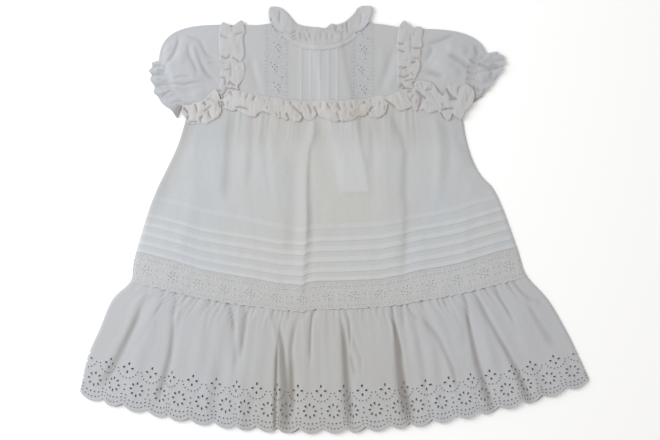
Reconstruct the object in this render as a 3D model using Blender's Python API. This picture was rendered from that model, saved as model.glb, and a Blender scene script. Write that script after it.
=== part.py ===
"""A toddler's white cotton dress, laid flat on a table with its front up.

X runs across the dress, Y from the hem up to the neck, and Z up from the table.
Every size below is in millimetres, and each mesh is written in metres.
"left" and "right" are the sides that a person looking down at the front sees.

The dress is cut as a front and a back.  Each has a short yoke, a gathered skirt with
tucks, a band of lace insertion and a scalloped flounce.  The puff sleeves are flattened
tubes with a frill at the cuff.  Ruffles are sewn over the armholes and the yoke seam,
a frill stands round the neck, and the back opens down its middle on a facing strip.
"""

import math
from collections import namedtuple

import bmesh
import bpy
from mathutils import Vector

MM = 0.001

# ---------------------------------------------------------------- driving sizes

CLOTH = 1.0              # thickness of one layer of cloth
SEAM = 0.3               # gap between pieces that are sewn together
ARM_SEAM = 0.8           # gap along the curved armhole seam
CURVE_STEP = 0.002       # step for finding the slope of a surface
STEEPEST = 2.0           # most by which a slope makes the cloth taller, measured upright

Level = namedtuple("Level", "name left_x left_y right_x right_y middle_y")
LEVELS = (
    Level("yoke seam", -177.8, 122.7, 153.4, 128.7, 142.5),
    Level("chest", -187.4, 90.3, 159.4, 92.7, 99.9),
    Level("waist", -201.2, 60.3, 171.2, 61.5, 56.7),
    Level("hip", -214.4, 32.7, 191.6, 33.9, 15.9),
    Level("first tuck", -224.6, 5.1, 203.2, 9.9, -15.3),
    Level("band top", -239.3, -45.3, 222.4, -42.9, -72.9),
    Level("band foot", -244.7, -75.3, 232.0, -70.5, -106.0),
    Level("flounce head", -266.6, -96.9, 257.4, -98.0, -127.0),
    Level("flounce third", -281.0, -130.0, 277.0, -130.0, -163.0),
    Level("flounce two thirds", -296.0, -165.0, 292.0, -160.0, -206.0),
    Level("hem", -305.5, -208.0, 307.0, -192.9, -252.0),
)
FIRST_TUCK = 4
BAND_TOP = 5
BAND_FOOT = 6
HEM = 10

# The yoke: its seam to the skirt sags a little in the middle.
SEAM_LOW_Y = 143.7
SEAM_LOW_X = -19.0
SEAM_SAG = 6.2           # rise at 100 mm to either side of the low point
LACE_EDGES = (-83.0, -55.4, 20.8, 47.8)   # x of the long edges of the two lace strips
YOKE_TUCKS = 5
YOKE_TUCK_FIRST_X = -44.6
YOKE_TUCK_PITCH = 10.8
YOKE_TUCK_RISE = 0.8

# The neck edge is a flattened U that front and back share.
NECK_X = -17.0
NECK_LOW_Y = 208.0
NECK_DEPTH = 29.0
NECK_HALF_WIDTH = 52.0
NECK_POWER = 2.6
NECK_REACH = 50.5        # half of the neck's width that the frill covers
BINDING_WIDTH = 4.0
BINDING_END = 0.12       # share of the neck edge at each side where the frill covers it
NECK_GAP = 1.0           # from the neck edge to the foot of the frill

Spot = namedtuple("Spot", "x y")
SHOULDER = (Spot(-123.2, 233.7), Spot(-90.0, 233.9), Spot(-66.0, 237.0),
            Spot(35.0, 237.0), Spot(61.0, 234.3), Spot(92.8, 228.3))
ARMHOLE = {
    "left": (Spot(-123.2, 233.7), Spot(-122.6, 212.0), Spot(-122.6, 190.0),
             Spot(-124.0, 170.0), Spot(-131.0, 151.5), Spot(-148.8, 136.0),
             Spot(-177.8, 122.7)),
    "right": (Spot(92.8, 228.3), Spot(92.0, 208.0), Spot(92.0, 188.0),
              Spot(94.0, 170.0), Spot(101.0, 152.5), Spot(122.0, 139.5),
              Spot(153.4, 128.7)),
}

Column = namedtuple("Column", "top_x foot_x")
BACK_COLUMNS = {          # grid columns of the back yoke, close together round the neck
    "left": (Column(-95.0, -95.0), Column(-70.0, -70.0), Column(-66.0, -66.0),
             Column(-60.0, -60.0), Column(-53.0, -52.0), Column(-44.0, -42.0)),
    "right": (Column(62.0, 66.0), Column(36.0, 53.0), Column(32.5, 46.0),
              Column(27.0, 39.0), Column(20.0, 31.0)),
}

# The back opening runs slightly askew from the neck into the skirt.
OPENING_TOP = Spot(-8.6, 209.0)
OPENING_FOOT = Spot(25.6, 34.0)
OPENING_HALF_GAP = 0.4
SLIT_END_Y = 46.0
FACING_HALF_WIDTH = 16.0
BUTTONS = (198.0, 176.0, 154.0)      # y of each button
BUTTON_RADIUS = 4.5
BUTTON_THICK = 1.6
BUTTON_LIFT = 1.9        # how far the back lies up where it rests on the buttons
LIFT_FLAT = 6.5          # half width of the raised strip
LIFT_END = 20.0          # distance from the opening at which the back is down again
LIFT_FOOT_Y = 112.0
LIFT_FULL_Y = 138.0

# How the front lies over the back.
EASE = (0.5, 1.7, 1.9, 1.8, 1.5, 1.3, 1.3)   # at each level, yoke seam to band foot
SIDE_FADE = 0.13         # share of the half width over which the front comes down
YOKE_EASE = 0.4

Fold = namedtuple("Fold", "x1 y1 x2 y2 rise width")
SKIRT_FOLDS = (
    Fold(-131, 118, -146, 20, -1.3, 8),
    Fold(-101, 125, -112, 36, -1.2, 8),
    Fold(-118, 120, -128, 30, 0.9, 9),
    Fold(-81, 90, -72, 0, 0.8, 10),
    Fold(-26, 130, -37, 40, 1.6, 7),
    Fold(-36, 55, -37, -32, 1.5, 6),
    Fold(-36, -20, -45, -104, 1.3, 6),
    Fold(-50, 110, -52, -60, -1.0, 9),
    Fold(64, 122, 83, 60, -1.6, 10),
    Fold(83, 75, 80, -95, -1.5, 10),
    Fold(98, 80, 98, -70, 0.9, 9),
    Fold(123, 110, 120, 30, -1.0, 7),
    Fold(146, 100, 165, 60, -0.9, 6),
    Fold(10, 120, 22, 20, 0.7, 12),
    Fold(150, 20, 165, -80, 0.8, 12),
    Fold(-165, 40, -190, -60, 0.8, 12),
)
FLOUNCE_FOLDS = (
    Fold(-203, -88, -250, -190, 1.3, 10),
    Fold(-190, -92, -215, -220, -1.2, 9),
    Fold(-120, -104, -112, -190, -1.1, 8),
    Fold(-134, -100, -148, -235, 1.2, 11),
    Fold(-73, -108, -69, -250, -1.8, 7),
    Fold(-83, -108, -86, -245, 1.6, 8),
    Fold(-46, -110, -57, -235, 1.2, 10),
    Fold(-14, -108, -20, -220, -1.0, 8),
    Fold(12, -110, 22, -248, 1.5, 8),
    Fold(35, -108, 46, -230, -0.9, 9),
    Fold(71, -106, 100, -245, -1.8, 8),
    Fold(84, -104, 116, -235, 1.3, 10),
    Fold(128, -100, 150, -232, 1.0, 11),
    Fold(158, -92, 190, -222, -1.3, 9),
    Fold(192, -88, 228, -190, 1.3, 10),
    Fold(-226, -84, -278, -160, -0.8, 8),
)
SLEEVE_FOLDS = {
    "left": (
        Fold(-183, 229, -150, 201, -1.2, 6), Fold(-152, 204, -130, 183, -1.0, 6),
        Fold(-172, 215, -150, 173, 1.1, 6), Fold(-152, 178, -136, 164, 0.9, 6),
        Fold(-188, 229, -200, 186, 1.2, 5), Fold(-206, 161, -150, 165, -0.9, 5),
        Fold(-198, 205, -176, 190, -0.8, 5), Fold(-200, 176, -170, 176, 0.9, 5),
    ),
    "right": (
        Fold(154, 226, 110, 207, -1.1, 6), Fold(106, 199, 152, 194, 1.1, 6),
        Fold(139, 200, 170, 178, -1.0, 6), Fold(164, 212, 173, 190, 1.1, 5),
        Fold(103, 186, 130, 173, -0.9, 6), Fold(118, 218, 150, 211, 1.0, 6),
    ),
}

SKIRT_COLUMNS = 40
SKIRT_GATHERS = 15
SKIRT_GATHER_RISE = 1.1
GATHER_REACH = 0.70      # share of the half width that is gathered into the yoke
TUCKS = 5
TUCK_RISE = 0.9
TUCK_DROP = 0.15         # share of a tuck's pitch in which it falls away again
SOFT_TUCK = (3.74, 3.92, 3.97)    # places of the single tuck over the five
SOFT_TUCK_RISE = 0.7

SCALLOPS = 23
COLUMNS_PER_SCALLOP = 4
SCALLOP_DEPTH = 7.0
FLOUNCE_GATHERS = 31
FLOUNCE_GATHER_RISE = 1.3
FLOUNCE_EASE = 1.9

WAVE_STEPS = 5           # grid steps to a wave of a ruffle
SWING = 0.03             # how far a wave's sides lean out, as a share of its length
Ruffle = namedtuple("Ruffle", "stitch_x stitch_y free_x free_y")
YOKE_RUFFLE = (
    Ruffle(-129.0, 150.0, -131.0, 127.0), Ruffle(-96.0, 149.0, -96.0, 121.8),
    Ruffle(-57.0, 145.8, -57.0, 119.2), Ruffle(-17.0, 144.3, -17.0, 117.8),
    Ruffle(22.0, 145.2, 22.0, 119.0), Ruffle(58.0, 148.3, 59.0, 123.2),
    Ruffle(91.0, 151.0, 91.0, 131.0),
)
YOKE_RUFFLE_WAVES = 19
YOKE_RUFFLE_RISE = 2.6
UNDERARM_RUFFLE = {
    "left": (Ruffle(-134.0, 152.5, -134.0, 128.5), Ruffle(-146.0, 149.5, -144.0, 121.5),
             Ruffle(-158.0, 144.5, -155.5, 116.5), Ruffle(-170.0, 140.5, -169.0, 115.8),
             Ruffle(-181.0, 137.5, -181.0, 120.0)),
    "right": (Ruffle(97.0, 157.5, 95.0, 133.5), Ruffle(109.0, 156.0, 106.5, 130.0),
              Ruffle(122.0, 152.0, 122.0, 130.0), Ruffle(136.0, 150.5, 139.0, 132.0),
              Ruffle(149.0, 158.0, 160.0, 139.5)),
}
UNDERARM_WAVES = 5
UNDERARM_RISE = 2.3

Shoulder = namedtuple("Shoulder", "y middle_x left_reach right_reach")
SHOULDER_RUFFLE = {
    "left": (Shoulder(240.0, -122.5, 14.5, 15.0), Shoulder(222.0, -122.5, 15.5, 16.0),
             Shoulder(203.0, -123.0, 15.0, 16.5), Shoulder(185.0, -123.0, 14.0, 16.0),
             Shoulder(168.0, -123.0, 12.0, 12.5), Shoulder(154.5, -123.0, 9.0, 10.0)),
    "right": (Shoulder(236.5, 91.5, 15.5, 15.0), Shoulder(219.0, 91.5, 15.5, 12.5),
              Shoulder(202.0, 91.5, 15.5, 12.0), Shoulder(185.0, 91.0, 14.5, 12.0),
              Shoulder(171.0, 90.0, 13.0, 11.0), Shoulder(160.5, 89.0, 11.0, 8.0)),
}
SHOULDER_WAVES = 8
SHOULDER_RISE = 2.6

NeckFrill = namedtuple("NeckFrill", "base_x tip_x tip_y")
NECK_FRILL = (
    NeckFrill(-67.0, -80.0, 248.5), NeckFrill(-64.5, -71.0, 257.5),
    NeckFrill(-57.5, -55.0, 244.5), NeckFrill(-47.0, -44.6, 235.6),
    NeckFrill(-30.2, -28.0, 232.6), NeckFrill(-15.0, -14.6, 231.8),
    NeckFrill(-1.4, -3.4, 234.4), NeckFrill(13.0, 10.5, 238.2),
    NeckFrill(24.0, 22.5, 247.2), NeckFrill(29.5, 36.5, 257.5),
    NeckFrill(34.0, 47.5, 251.0),
)
WING_SINK = 3.5          # how far the front frill's two ends come down over the yoke
NECK_FRILL_WAVES = 12
NECK_FRILL_RISE = 1.9

Cuff = namedtuple("Cuff", "gather_x gather_y free_x free_y")
SLEEVE_TOP = {
    "left": (Spot(-123.2, 233.7), Spot(-190.0, 236.0), Spot(-208.0, 222.0),
             Spot(-209.8, 191.1)),
    "right": (Spot(92.8, 228.3), Spot(142.0, 230.5), Spot(174.0, 224.0),
              Spot(182.2, 199.3)),
}
CUFF = {
    "left": (Cuff(-209.8, 191.1, -217.5, 189.0), Cuff(-205.4, 177.9, -220.3, 177.0),
             Cuff(-200.6, 163.5, -216.6, 161.0), Cuff(-192.5, 150.0, -211.0, 146.5),
             Cuff(-183.0, 138.0, -188.0, 124.0)),
    "right": (Cuff(182.2, 199.3, 193.0, 201.6), Cuff(172.5, 186.0, 204.4, 194.0),
              Cuff(167.5, 168.0, 199.5, 177.5), Cuff(166.0, 152.0, 187.0, 160.0),
              Cuff(164.0, 139.0, 176.5, 148.0)),
}
SLEEVE_DOME = 3.4
CUFF_WAVES = 7
CUFF_RISE = 1.5

WHITE_COTTON = (0.62, 0.63, 0.65)
WHITE_LACE = (0.58, 0.58, 0.58)
CREAM_COTTON = (0.63, 0.60, 0.56)
PEARL = (0.80, 0.79, 0.75)


# ---------------------------------------------------------------- small arithmetic

def mix(first, second, share):
    """Value that lies a share of the way from first to second."""
    return first + (second - first) * share


def clamp(value, low=0.0, high=1.0):
    """Value held between low and high."""
    return max(low, min(high, value))


def soft(value):
    """Smooth step from 0 to 1 while value goes from 0 to 1."""
    value = clamp(value)
    return value * value * (3.0 - 2.0 * value)


def along(values, place):
    """Smooth value at a place in an evenly spaced row of values."""
    last = len(values) - 1
    index = int(clamp(place, 0, last - 1e-9))
    share = place - index
    here, after = values[index], values[index + 1]
    before = values[index - 1] if index > 0 else 2.0 * here - after
    beyond = values[index + 2] if index + 2 <= last else 2.0 * after - here
    slope_here = (after - before) / 2.0
    slope_after = (beyond - here) / 2.0
    square, cube = share ** 2, share ** 3
    return (here * (2 * cube - 3 * square + 1) + slope_here * (cube - 2 * square + share)
            + after * (3 * square - 2 * cube) + slope_after * (cube - square))


def row_at(table, share):
    """Each column of a table at a share of its length, smoothly."""
    place = share * (len(table) - 1)
    return tuple(along(column, place) for column in zip(*table))


def straight(table, place, key, value):
    """Column value of a table where column key equals place, in straight steps."""
    rows = sorted(table, key=lambda row: getattr(row, key))
    if place <= getattr(rows[0], key):
        return getattr(rows[0], value)
    for low, high in zip(rows, rows[1:]):
        if place <= getattr(high, key):
            span = getattr(high, key) - getattr(low, key)
            return mix(getattr(low, value), getattr(high, value),
                       (place - getattr(low, key)) / span)
    return getattr(rows[-1], value)


def bezier(spots, share):
    """Point on a cubic curve with four control spots."""
    rest = 1.0 - share
    weights = (rest ** 3, 3 * share * rest ** 2, 3 * rest * share ** 2, share ** 3)
    return (sum(w * spot.x for w, spot in zip(weights, spots)),
            sum(w * spot.y for w, spot in zip(weights, spots)))


def fold_rise(folds, x, y):
    """Height that the folds of a table add at a place in plan."""
    total = 0.0
    for fold in folds:
        run_x, run_y = fold.x2 - fold.x1, fold.y2 - fold.y1
        length = math.hypot(run_x, run_y)
        share = ((x - fold.x1) * run_x + (y - fold.y1) * run_y) / length ** 2
        if not 0.0 < share < 1.0:
            continue
        aside = ((x - fold.x1) * run_y - (y - fold.y1) * run_x) / length
        total += fold.rise * math.exp(-(aside / fold.width) ** 2) * soft(3.0 * min(share, 1 - share))
    return total


def uneven(share, waves):
    """Angle that makes a given number of waves of slightly uneven length."""
    drift = 0.006 * math.sin(17.0 * share) + 0.0025 * math.sin(41.0 * share)
    return math.tau * waves * (share + drift)


# ---------------------------------------------------------------- the cut, in plan

def seam_y(x):
    """Height up the dress of the seam between yoke and skirt."""
    return SEAM_LOW_Y + SEAM_SAG * ((x - SEAM_LOW_X) / 100.0) ** 2


def neck_y(x):
    """Height up the dress of the neck edge."""
    return NECK_LOW_Y + NECK_DEPTH * (abs(x - NECK_X) / NECK_HALF_WIDTH) ** NECK_POWER


def yoke_top_y(x):
    """Top edge of the yoke: the neck edge in the middle and the shoulders beside it."""
    shoulder = straight(SHOULDER, x, "x", "y")
    return min(shoulder, neck_y(x))


def armhole_x(side, y):
    """Edge of the yoke at the armhole."""
    return straight(ARMHOLE[side][:5], y, "y", "x")


def skirt_top_y(x):
    """Top edge of the skirt: the yoke seam, then the armhole down to the underarm."""
    side = "left" if x < NECK_X else "right"
    armhole = straight(ARMHOLE[side][4:], x, "x", "y") - 2.0 * ARM_SEAM
    corner = ARMHOLE[side][4].x
    outside = x < corner if side == "left" else x > corner
    return armhole if outside else seam_y(x)


def body_point(across, level):
    """Place of a point of the skirt, band or flounce.

    across runs from -1 at the left side seam to 1 at the right one, and level is a
    place in LEVELS.
    """
    left_x, left_y, right_x, right_y, middle_y = (
        along(column, level) for column in list(zip(*LEVELS))[1:])
    share = (across + 1.0) / 2.0
    x = mix(left_x, right_x, share)
    y = mix(left_y, right_y, share)
    y += (middle_y - (left_y + right_y) / 2.0) * (1.0 - across ** 2)
    if level < 1.0:
        top = LEVELS[0]
        top_x = mix(top.left_x, top.right_x, share)
        plain = mix(top.left_y, top.right_y, share)
        plain += (top.middle_y - (top.left_y + top.right_y) / 2.0) * (1.0 - across ** 2)
        y += (skirt_top_y(top_x) - plain) * (1.0 - level)
    return x, y


def opening_x(y):
    """Line of the back opening."""
    share = (y - OPENING_TOP.y) / (OPENING_FOOT.y - OPENING_TOP.y)
    return mix(OPENING_TOP.x, OPENING_FOOT.x, share)


def neck_point(share, out):
    """Point a distance out from the neck edge, towards the middle of the neck."""
    angle = math.pi * (share - 0.5)
    x = NECK_X + NECK_REACH * math.sin(angle)
    slope = (neck_y(x + 0.05) - neck_y(x - 0.05)) / 0.1
    length = math.hypot(1.0, slope)
    return x - out * slope / length, neck_y(x) + out / length


def scallop(share):
    """Depth of the scalloped hem below its notches."""
    inside = (share * SCALLOPS) % 1.0
    return SCALLOP_DEPTH * (1.0 - (2.0 * inside - 1.0) ** 2)


# ---------------------------------------------------------------- how the layers lie

def back_lift(x, y):
    """Height of the back's underside, which rests on the buttons at the opening."""
    aside = abs(x - opening_x(y))
    across = clamp((LIFT_END - aside) / (LIFT_END - LIFT_FLAT))
    return BUTTON_LIFT * across * clamp((y - LIFT_FOOT_Y) / (LIFT_FULL_Y - LIFT_FOOT_Y))


def front_rest(x, y):
    """Lowest height at which the inside of the front may lie over the back."""
    aside = abs(x - opening_x(y))
    over_facing = soft((38.0 - aside) / 14.0) * soft((y - OPENING_FOOT.y + 16.0) / 12.0)
    over_buttons = soft((34.0 - aside) / 22.0) * soft((y - LIFT_FOOT_Y + 16.0) / 24.0)
    return CLOTH + SEAM + (CLOTH + SEAM) * over_facing + BUTTON_LIFT * over_buttons


def side_fade(across):
    """Share of the ease that is left towards the side seams."""
    return soft((1.0 - abs(across)) / SIDE_FADE)


def skirt_inside(across, level):
    """Height of the inside of the skirt front."""
    x, y = body_point(across, level)
    ease = along(EASE, min(level, BAND_FOOT))
    gathered = clamp(1.0 - level / 1.6) * soft((GATHER_REACH - abs(across)) / 0.08)
    wave = 0.5 + 0.5 * math.cos(uneven((across + 1.0) / 2.0, SKIRT_GATHERS))
    lift = ease + fold_rise(SKIRT_FOLDS, x, y) * soft(level / 0.7)
    lift += SKIRT_GATHER_RISE * gathered * wave
    return front_rest(x, y) + side_fade(across) * max(lift, 0.0)


def flounce_inside(across, level):
    """Height of the inside of the flounce front."""
    x, y = body_point(across, level)
    drop = (level - BAND_FOOT) / (HEM - BAND_FOOT)
    wave = 0.5 + 0.5 * math.cos(uneven((across + 1.0) / 2.0, FLOUNCE_GATHERS))
    broad = 0.5 + 0.5 * math.cos(uneven((across + 1.0) / 2.0, 9.0) + 1.0)
    start = EASE[-1] * clamp(1.0 - 3.0 * drop)
    lift = start + FLOUNCE_EASE * soft(2.0 * drop) * (0.6 + 0.4 * broad)
    lift += FLOUNCE_GATHER_RISE * wave * (1.0 - 0.75 * soft(1.2 * drop)) * soft(6.0 * drop + 0.3)
    lift += fold_rise(FLOUNCE_FOLDS, x, y)
    return front_rest(x, y) + side_fade(across) * max(lift, 0.0)


def yoke_inside(x, y):
    """Height of the inside of the yoke front."""
    return front_rest(x, y) + YOKE_EASE


def over_yoke(x, y):
    """Height just clear of the yoke and of the inner ends of the sleeves."""
    return yoke_inside(x, y) + CLOTH + SEAM


def over_skirt(x, y):
    """Height just clear of the gathers at the top of the skirt."""
    return front_rest(x, y) + EASE[0] + 0.9 + SKIRT_GATHER_RISE * 0.7 + CLOTH + SEAM


# ---------------------------------------------------------------- making the solids

def finish(name, colour, roughness=0.85):
    """Material of one piece."""
    material = bpy.data.materials.new(name)
    material.use_nodes = True
    shader = material.node_tree.nodes["Principled BSDF"]
    shader.inputs["Base Color"].default_value = (*colour, 1.0)
    shader.inputs["Roughness"].default_value = roughness
    shader.inputs["Metallic"].default_value = 0.0
    return material


def add_object(name, form, colour, roughness=0.85):
    """Turn a closed bmesh into a named object with its own material."""
    bmesh.ops.recalc_face_normals(form, faces=form.faces[:])
    if form.calc_volume(signed=True) < 0.0:
        bmesh.ops.reverse_faces(form, faces=form.faces[:])
    mesh = bpy.data.meshes.new(name)
    form.to_mesh(mesh)
    form.free()
    mesh.shade_smooth()
    mesh.set_sharp_from_angle(angle=math.radians(50.0))
    mesh.materials.append(finish(name, colour, roughness))
    piece = bpy.data.objects.new(name, mesh)
    bpy.context.scene.collection.objects.link(piece)
    return piece


def give_faces(form, upper, lower, place_of):
    """Double the sheet in form into an upper and a lower face with a rim."""
    bmesh.ops.triangulate(form, faces=form.faces[:], quad_method="FIXED")
    made = bmesh.ops.extrude_face_region(form, geom=form.faces[:], use_keep_orig=True)
    raised = {item for item in made["geom"] if isinstance(item, bmesh.types.BMVert)}
    for vert in form.verts:
        u, v = place_of(vert)
        spot = upper(u, v) if vert in raised else lower(u, v)
        vert.co = Vector(spot) * MM


def sheet(name, upper, lower, columns, rows, colour, gone=None):
    """A flat piece of cloth, mapped from a grid with u and v from 0 to 1."""
    form = bmesh.new()
    bmesh.ops.create_grid(form, x_segments=columns, y_segments=rows, size=0.5)
    if gone:
        cut = [face for face in form.faces
               if gone(*(value + 0.5 for value in face.calc_center_median()[:2]))]
        bmesh.ops.delete(form, geom=cut, context="FACES")
    give_faces(form, upper, lower, lambda vert: (vert.co.x + 0.5, vert.co.y + 0.5))
    return add_object(name, form, colour)


def tube(name, outer, inner, around, rows, colour):
    """A ring of cloth, open at both ends, mapped with u round it and v along it."""
    form = bmesh.new()
    bmesh.ops.create_grid(form, x_segments=around, y_segments=rows, size=0.5)
    for vert in form.verts:
        angle = math.tau * (vert.co.x + 0.5)
        vert.co = Vector((math.cos(angle), math.sin(angle), vert.co.y + 0.5))
    bmesh.ops.remove_doubles(form, verts=form.verts[:], dist=0.0001)

    def place_of(vert):
        share = (math.atan2(vert.co.y, vert.co.x) / math.tau) % 1.0
        return round(share * around) % around / around, vert.co.z

    give_faces(form, outer, inner, place_of)
    return add_object(name, form, colour)


def layered(height, plan, extra=None):
    """Upper and lower face of a sheet from its plan and the height of its inside."""
    def lower(u, v):
        x, y = plan(u, v)
        return x, y, height(u, v)

    def upper(u, v):
        x, y = plan(u, v)
        return x, y, height(u, v) + CLOTH + (extra(u, v) if extra else 0.0)

    return upper, lower


def thickened(under):
    """Upper and lower face of a waved sheet, a full thickness apart on its slopes too."""
    def lower(u, v):
        return under(u, v)

    def upper(u, v):
        u0, u1 = max(u - CURVE_STEP, 0.0), min(u + CURVE_STEP, 1.0)
        v0, v1 = max(v - CURVE_STEP, 0.0), min(v + CURVE_STEP, 1.0)
        run_u = Vector(under(u1, v)) - Vector(under(u0, v))
        run_v = Vector(under(u, v1)) - Vector(under(u, v0))
        steepness = 1.0 / max(abs(run_u.cross(run_v).normalized().z), 1.0 / STEEPEST)
        x, y, z = under(u, v)
        return x, y, z + CLOTH * steepness

    return upper, lower


# ---------------------------------------------------------------- skirt, band, flounce

def tuck_rows():
    """Levels of the skirt's grid rows, with the outer rise of the cloth at each."""
    rows = [(level, 0.0) for level in (0.0, 0.3, 0.6, 1.0, 1.5, 2.0, 2.5, 3.0, 3.4)]
    rows += [(SOFT_TUCK[0], 0.0), (SOFT_TUCK[1], SOFT_TUCK_RISE), (SOFT_TUCK[2], 0.0)]
    for tuck in range(TUCKS):
        head = FIRST_TUCK + tuck / TUCKS
        rows += [(head + (1.0 - TUCK_DROP) / TUCKS, TUCK_RISE),
                 (head + 1.0 / TUCKS - 0.008, 0.0)]
    return rows


def build_skirt_front():
    rows = tuck_rows()
    top_gap = 0.008

    def place(u, v):
        level, rise = rows[round(v * (len(rows) - 1))]
        return 2.0 * u - 1.0, max(level, top_gap), rise

    def plan(u, v):
        across, level, _ = place(u, v)
        return body_point(across, level)

    def height(u, v):
        across, level, _ = place(u, v)
        return skirt_inside(across, level)

    upper, lower = layered(height, plan, lambda u, v: place(u, v)[2])
    sheet("skirt_front", upper, lower, SKIRT_COLUMNS, len(rows) - 1, WHITE_COTTON)


def back_plan(columns, levels):
    """Plan of a back panel whose middle column straddles the opening's line."""
    half = columns // 2

    def plan(u, v):
        level = levels[round(v * (len(levels) - 1))]
        left = body_point(-1.0, level)[0]
        right = body_point(1.0, level)[0]
        middle_y = body_point(0.1, level)[1]
        line = opening_x(middle_y)
        column = round(u * columns)
        if column <= half:
            near = (LIFT_END, LIFT_FLAT, OPENING_HALF_GAP)[column - half + 2:][:1]
            x = line - near[0] if column >= half - 2 else mix(
                left, line - LIFT_END, column / (half - 2))
        else:
            step = column - half - 1
            near = (OPENING_HALF_GAP, LIFT_FLAT, LIFT_END)
            x = line + near[step] if step <= 2 else mix(
                line + LIFT_END, right, (step - 2) / (half - 2))
        across = 2.0 * (x - left) / (right - left) - 1.0
        return body_point(across, level)

    return plan


def build_skirt_back():
    columns = 21
    levels = (0.01, 0.35, 0.7, 1.0, 1.6, 2.25, 3.6, 4.99)
    plan = back_plan(columns, levels)

    def height(u, v):
        return back_lift(*plan(u, v))

    def in_slit(u, v):
        level = levels[min(int(v * (len(levels) - 1)) + 1, len(levels) - 1)]
        return int(u * columns) == columns // 2 and body_point(0.1, level)[1] > SLIT_END_Y

    upper, lower = layered(height, plan)
    sheet("skirt_back", upper, lower, columns, len(levels) - 1, WHITE_COTTON, in_slit)


def build_lace_band():
    start, end = BAND_TOP + 0.01, BAND_FOOT - 0.01

    def plan(u, v):
        return body_point(2.0 * u - 1.0, mix(start, end, v))

    def height(u, v):
        return skirt_inside(2.0 * u - 1.0, mix(start, end, v))

    upper, lower = layered(height, plan)
    sheet("lace_band_front", upper, lower, SKIRT_COLUMNS, 2, WHITE_LACE)
    upper, lower = layered(lambda u, v: 0.0, plan)
    sheet("lace_band_back", upper, lower, 16, 1, WHITE_LACE)


def flounce_plan(level, u):
    """Place of a flounce point, with the scallops reached towards the hem."""
    x, y = body_point(2.0 * u - 1.0, level)
    reach = clamp((level - HEM + 1.0))
    return x, y - (scallop(u) - SCALLOP_DEPTH / 2.0) * reach ** 2


def build_flounce():
    front_levels = (6.01, 6.5, 7.2, 8.1, 9.1, 10.0)
    back_levels = (6.01, 7.3, 9.1, 10.0)

    def front_plan(u, v):
        return flounce_plan(front_levels[round(v * 5)], u)

    def height(u, v):
        return flounce_inside(2.0 * u - 1.0, front_levels[round(v * 5)])

    columns = SCALLOPS * COLUMNS_PER_SCALLOP
    upper, lower = layered(height, front_plan)
    sheet("flounce_front", upper, lower, columns, 5, WHITE_COTTON)

    def back_plan_of(u, v):
        return flounce_plan(back_levels[round(v * 3)], u)

    upper, lower = layered(lambda u, v: 0.0, back_plan_of)
    sheet("flounce_back", upper, lower, SCALLOPS * COLUMNS_PER_SCALLOP // 2, 3, WHITE_COTTON)


# ---------------------------------------------------------------- yoke and neck

def yoke_strip(name, xs, rows, colour, height, rises=None):
    """A piece of the yoke between the seam and the neck or shoulder edge.

    xs holds a function of y for each column, and rises the outer rise at each.
    """
    count = len(xs) - 1

    def plan(u, v):
        edge = xs[round(u * count)]
        y = mix(SEAM_LOW_Y, NECK_LOW_Y, v)
        for _ in range(6):
            x = edge(y)
            y = mix(seam_y(x) + SEAM, yoke_top_y(x), v)
        return edge(y), y

    def lift(u, v):
        return rises[round(u * count)] if rises else 0.0

    upper, lower = layered(lambda u, v: height(*plan(u, v)), plan, lift)
    sheet(name, upper, lower, count, rows, colour)


def upright(x):
    """Column that stands at one x."""
    return lambda y: x


def leaning(column):
    """Column that leans from its foot at the yoke seam to its top at the neck."""
    return lambda y: mix(column.foot_x, column.top_x,
                         (y - SEAM_LOW_Y) / (NECK_LOW_Y + NECK_DEPTH - SEAM_LOW_Y))


def build_yoke_front():
    """Tucked centre panel, two strips of lace insertion and two plain sides."""
    lace_left, centre_left, centre_right, lace_right = LACE_EDGES
    columns, rises = [centre_left + SEAM / 2.0], [0.0]
    for tuck in range(YOKE_TUCKS):
        start = YOKE_TUCK_FIRST_X + tuck * YOKE_TUCK_PITCH
        columns += [start, start + 0.55 * YOKE_TUCK_PITCH, start + 0.68 * YOKE_TUCK_PITCH]
        rises += [0.0, YOKE_TUCK_RISE, 0.0]
    columns.append(centre_right - SEAM / 2.0)
    rises.append(0.0)
    yoke_strip("yoke_centre", [upright(x) for x in columns], 5, WHITE_COTTON,
               yoke_inside, rises)

    for side, low, high in (("left", lace_left, centre_left),
                            ("right", centre_right, lace_right)):
        edges = [mix(low + SEAM / 2.0, high - SEAM / 2.0, share)
                 for share in (0.0, 0.3, 0.6, 0.8, 1.0)]
        yoke_strip(f"yoke_lace_{side}", [upright(x) for x in edges], 5, WHITE_LACE,
                   yoke_inside)

    for side, inner in (("left", lace_left - SEAM / 2.0), ("right", lace_right + SEAM / 2.0)):
        inward = 1.0 if side == "left" else -1.0
        edges = [lambda y, share=share, side=side, inner=inner, inward=inward: mix(
            armhole_x(side, y) + inward * ARM_SEAM, inner, share) for share in (0, 0.33, 0.67, 1)]
        if side == "right":
            edges.reverse()
        yoke_strip(f"yoke_side_{side}", edges, 6, WHITE_COTTON, yoke_inside)


def build_yoke_back():
    """The two halves of the back yoke, which meet at the opening."""
    for side in ("left", "right"):
        inward = 1.0 if side == "left" else -1.0

        def near(gap, inward=inward):
            return lambda y: opening_x(y) - inward * gap

        edges = [lambda y, side=side, inward=inward: armhole_x(side, y) + inward * ARM_SEAM]
        edges += [leaning(column) for column in BACK_COLUMNS[side]]
        edges += [near(LIFT_END), near(LIFT_FLAT), near(OPENING_HALF_GAP)]
        if side == "right":
            edges.reverse()
        yoke_strip(f"yoke_back_{side}", edges, 5, WHITE_COTTON, back_lift)


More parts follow.
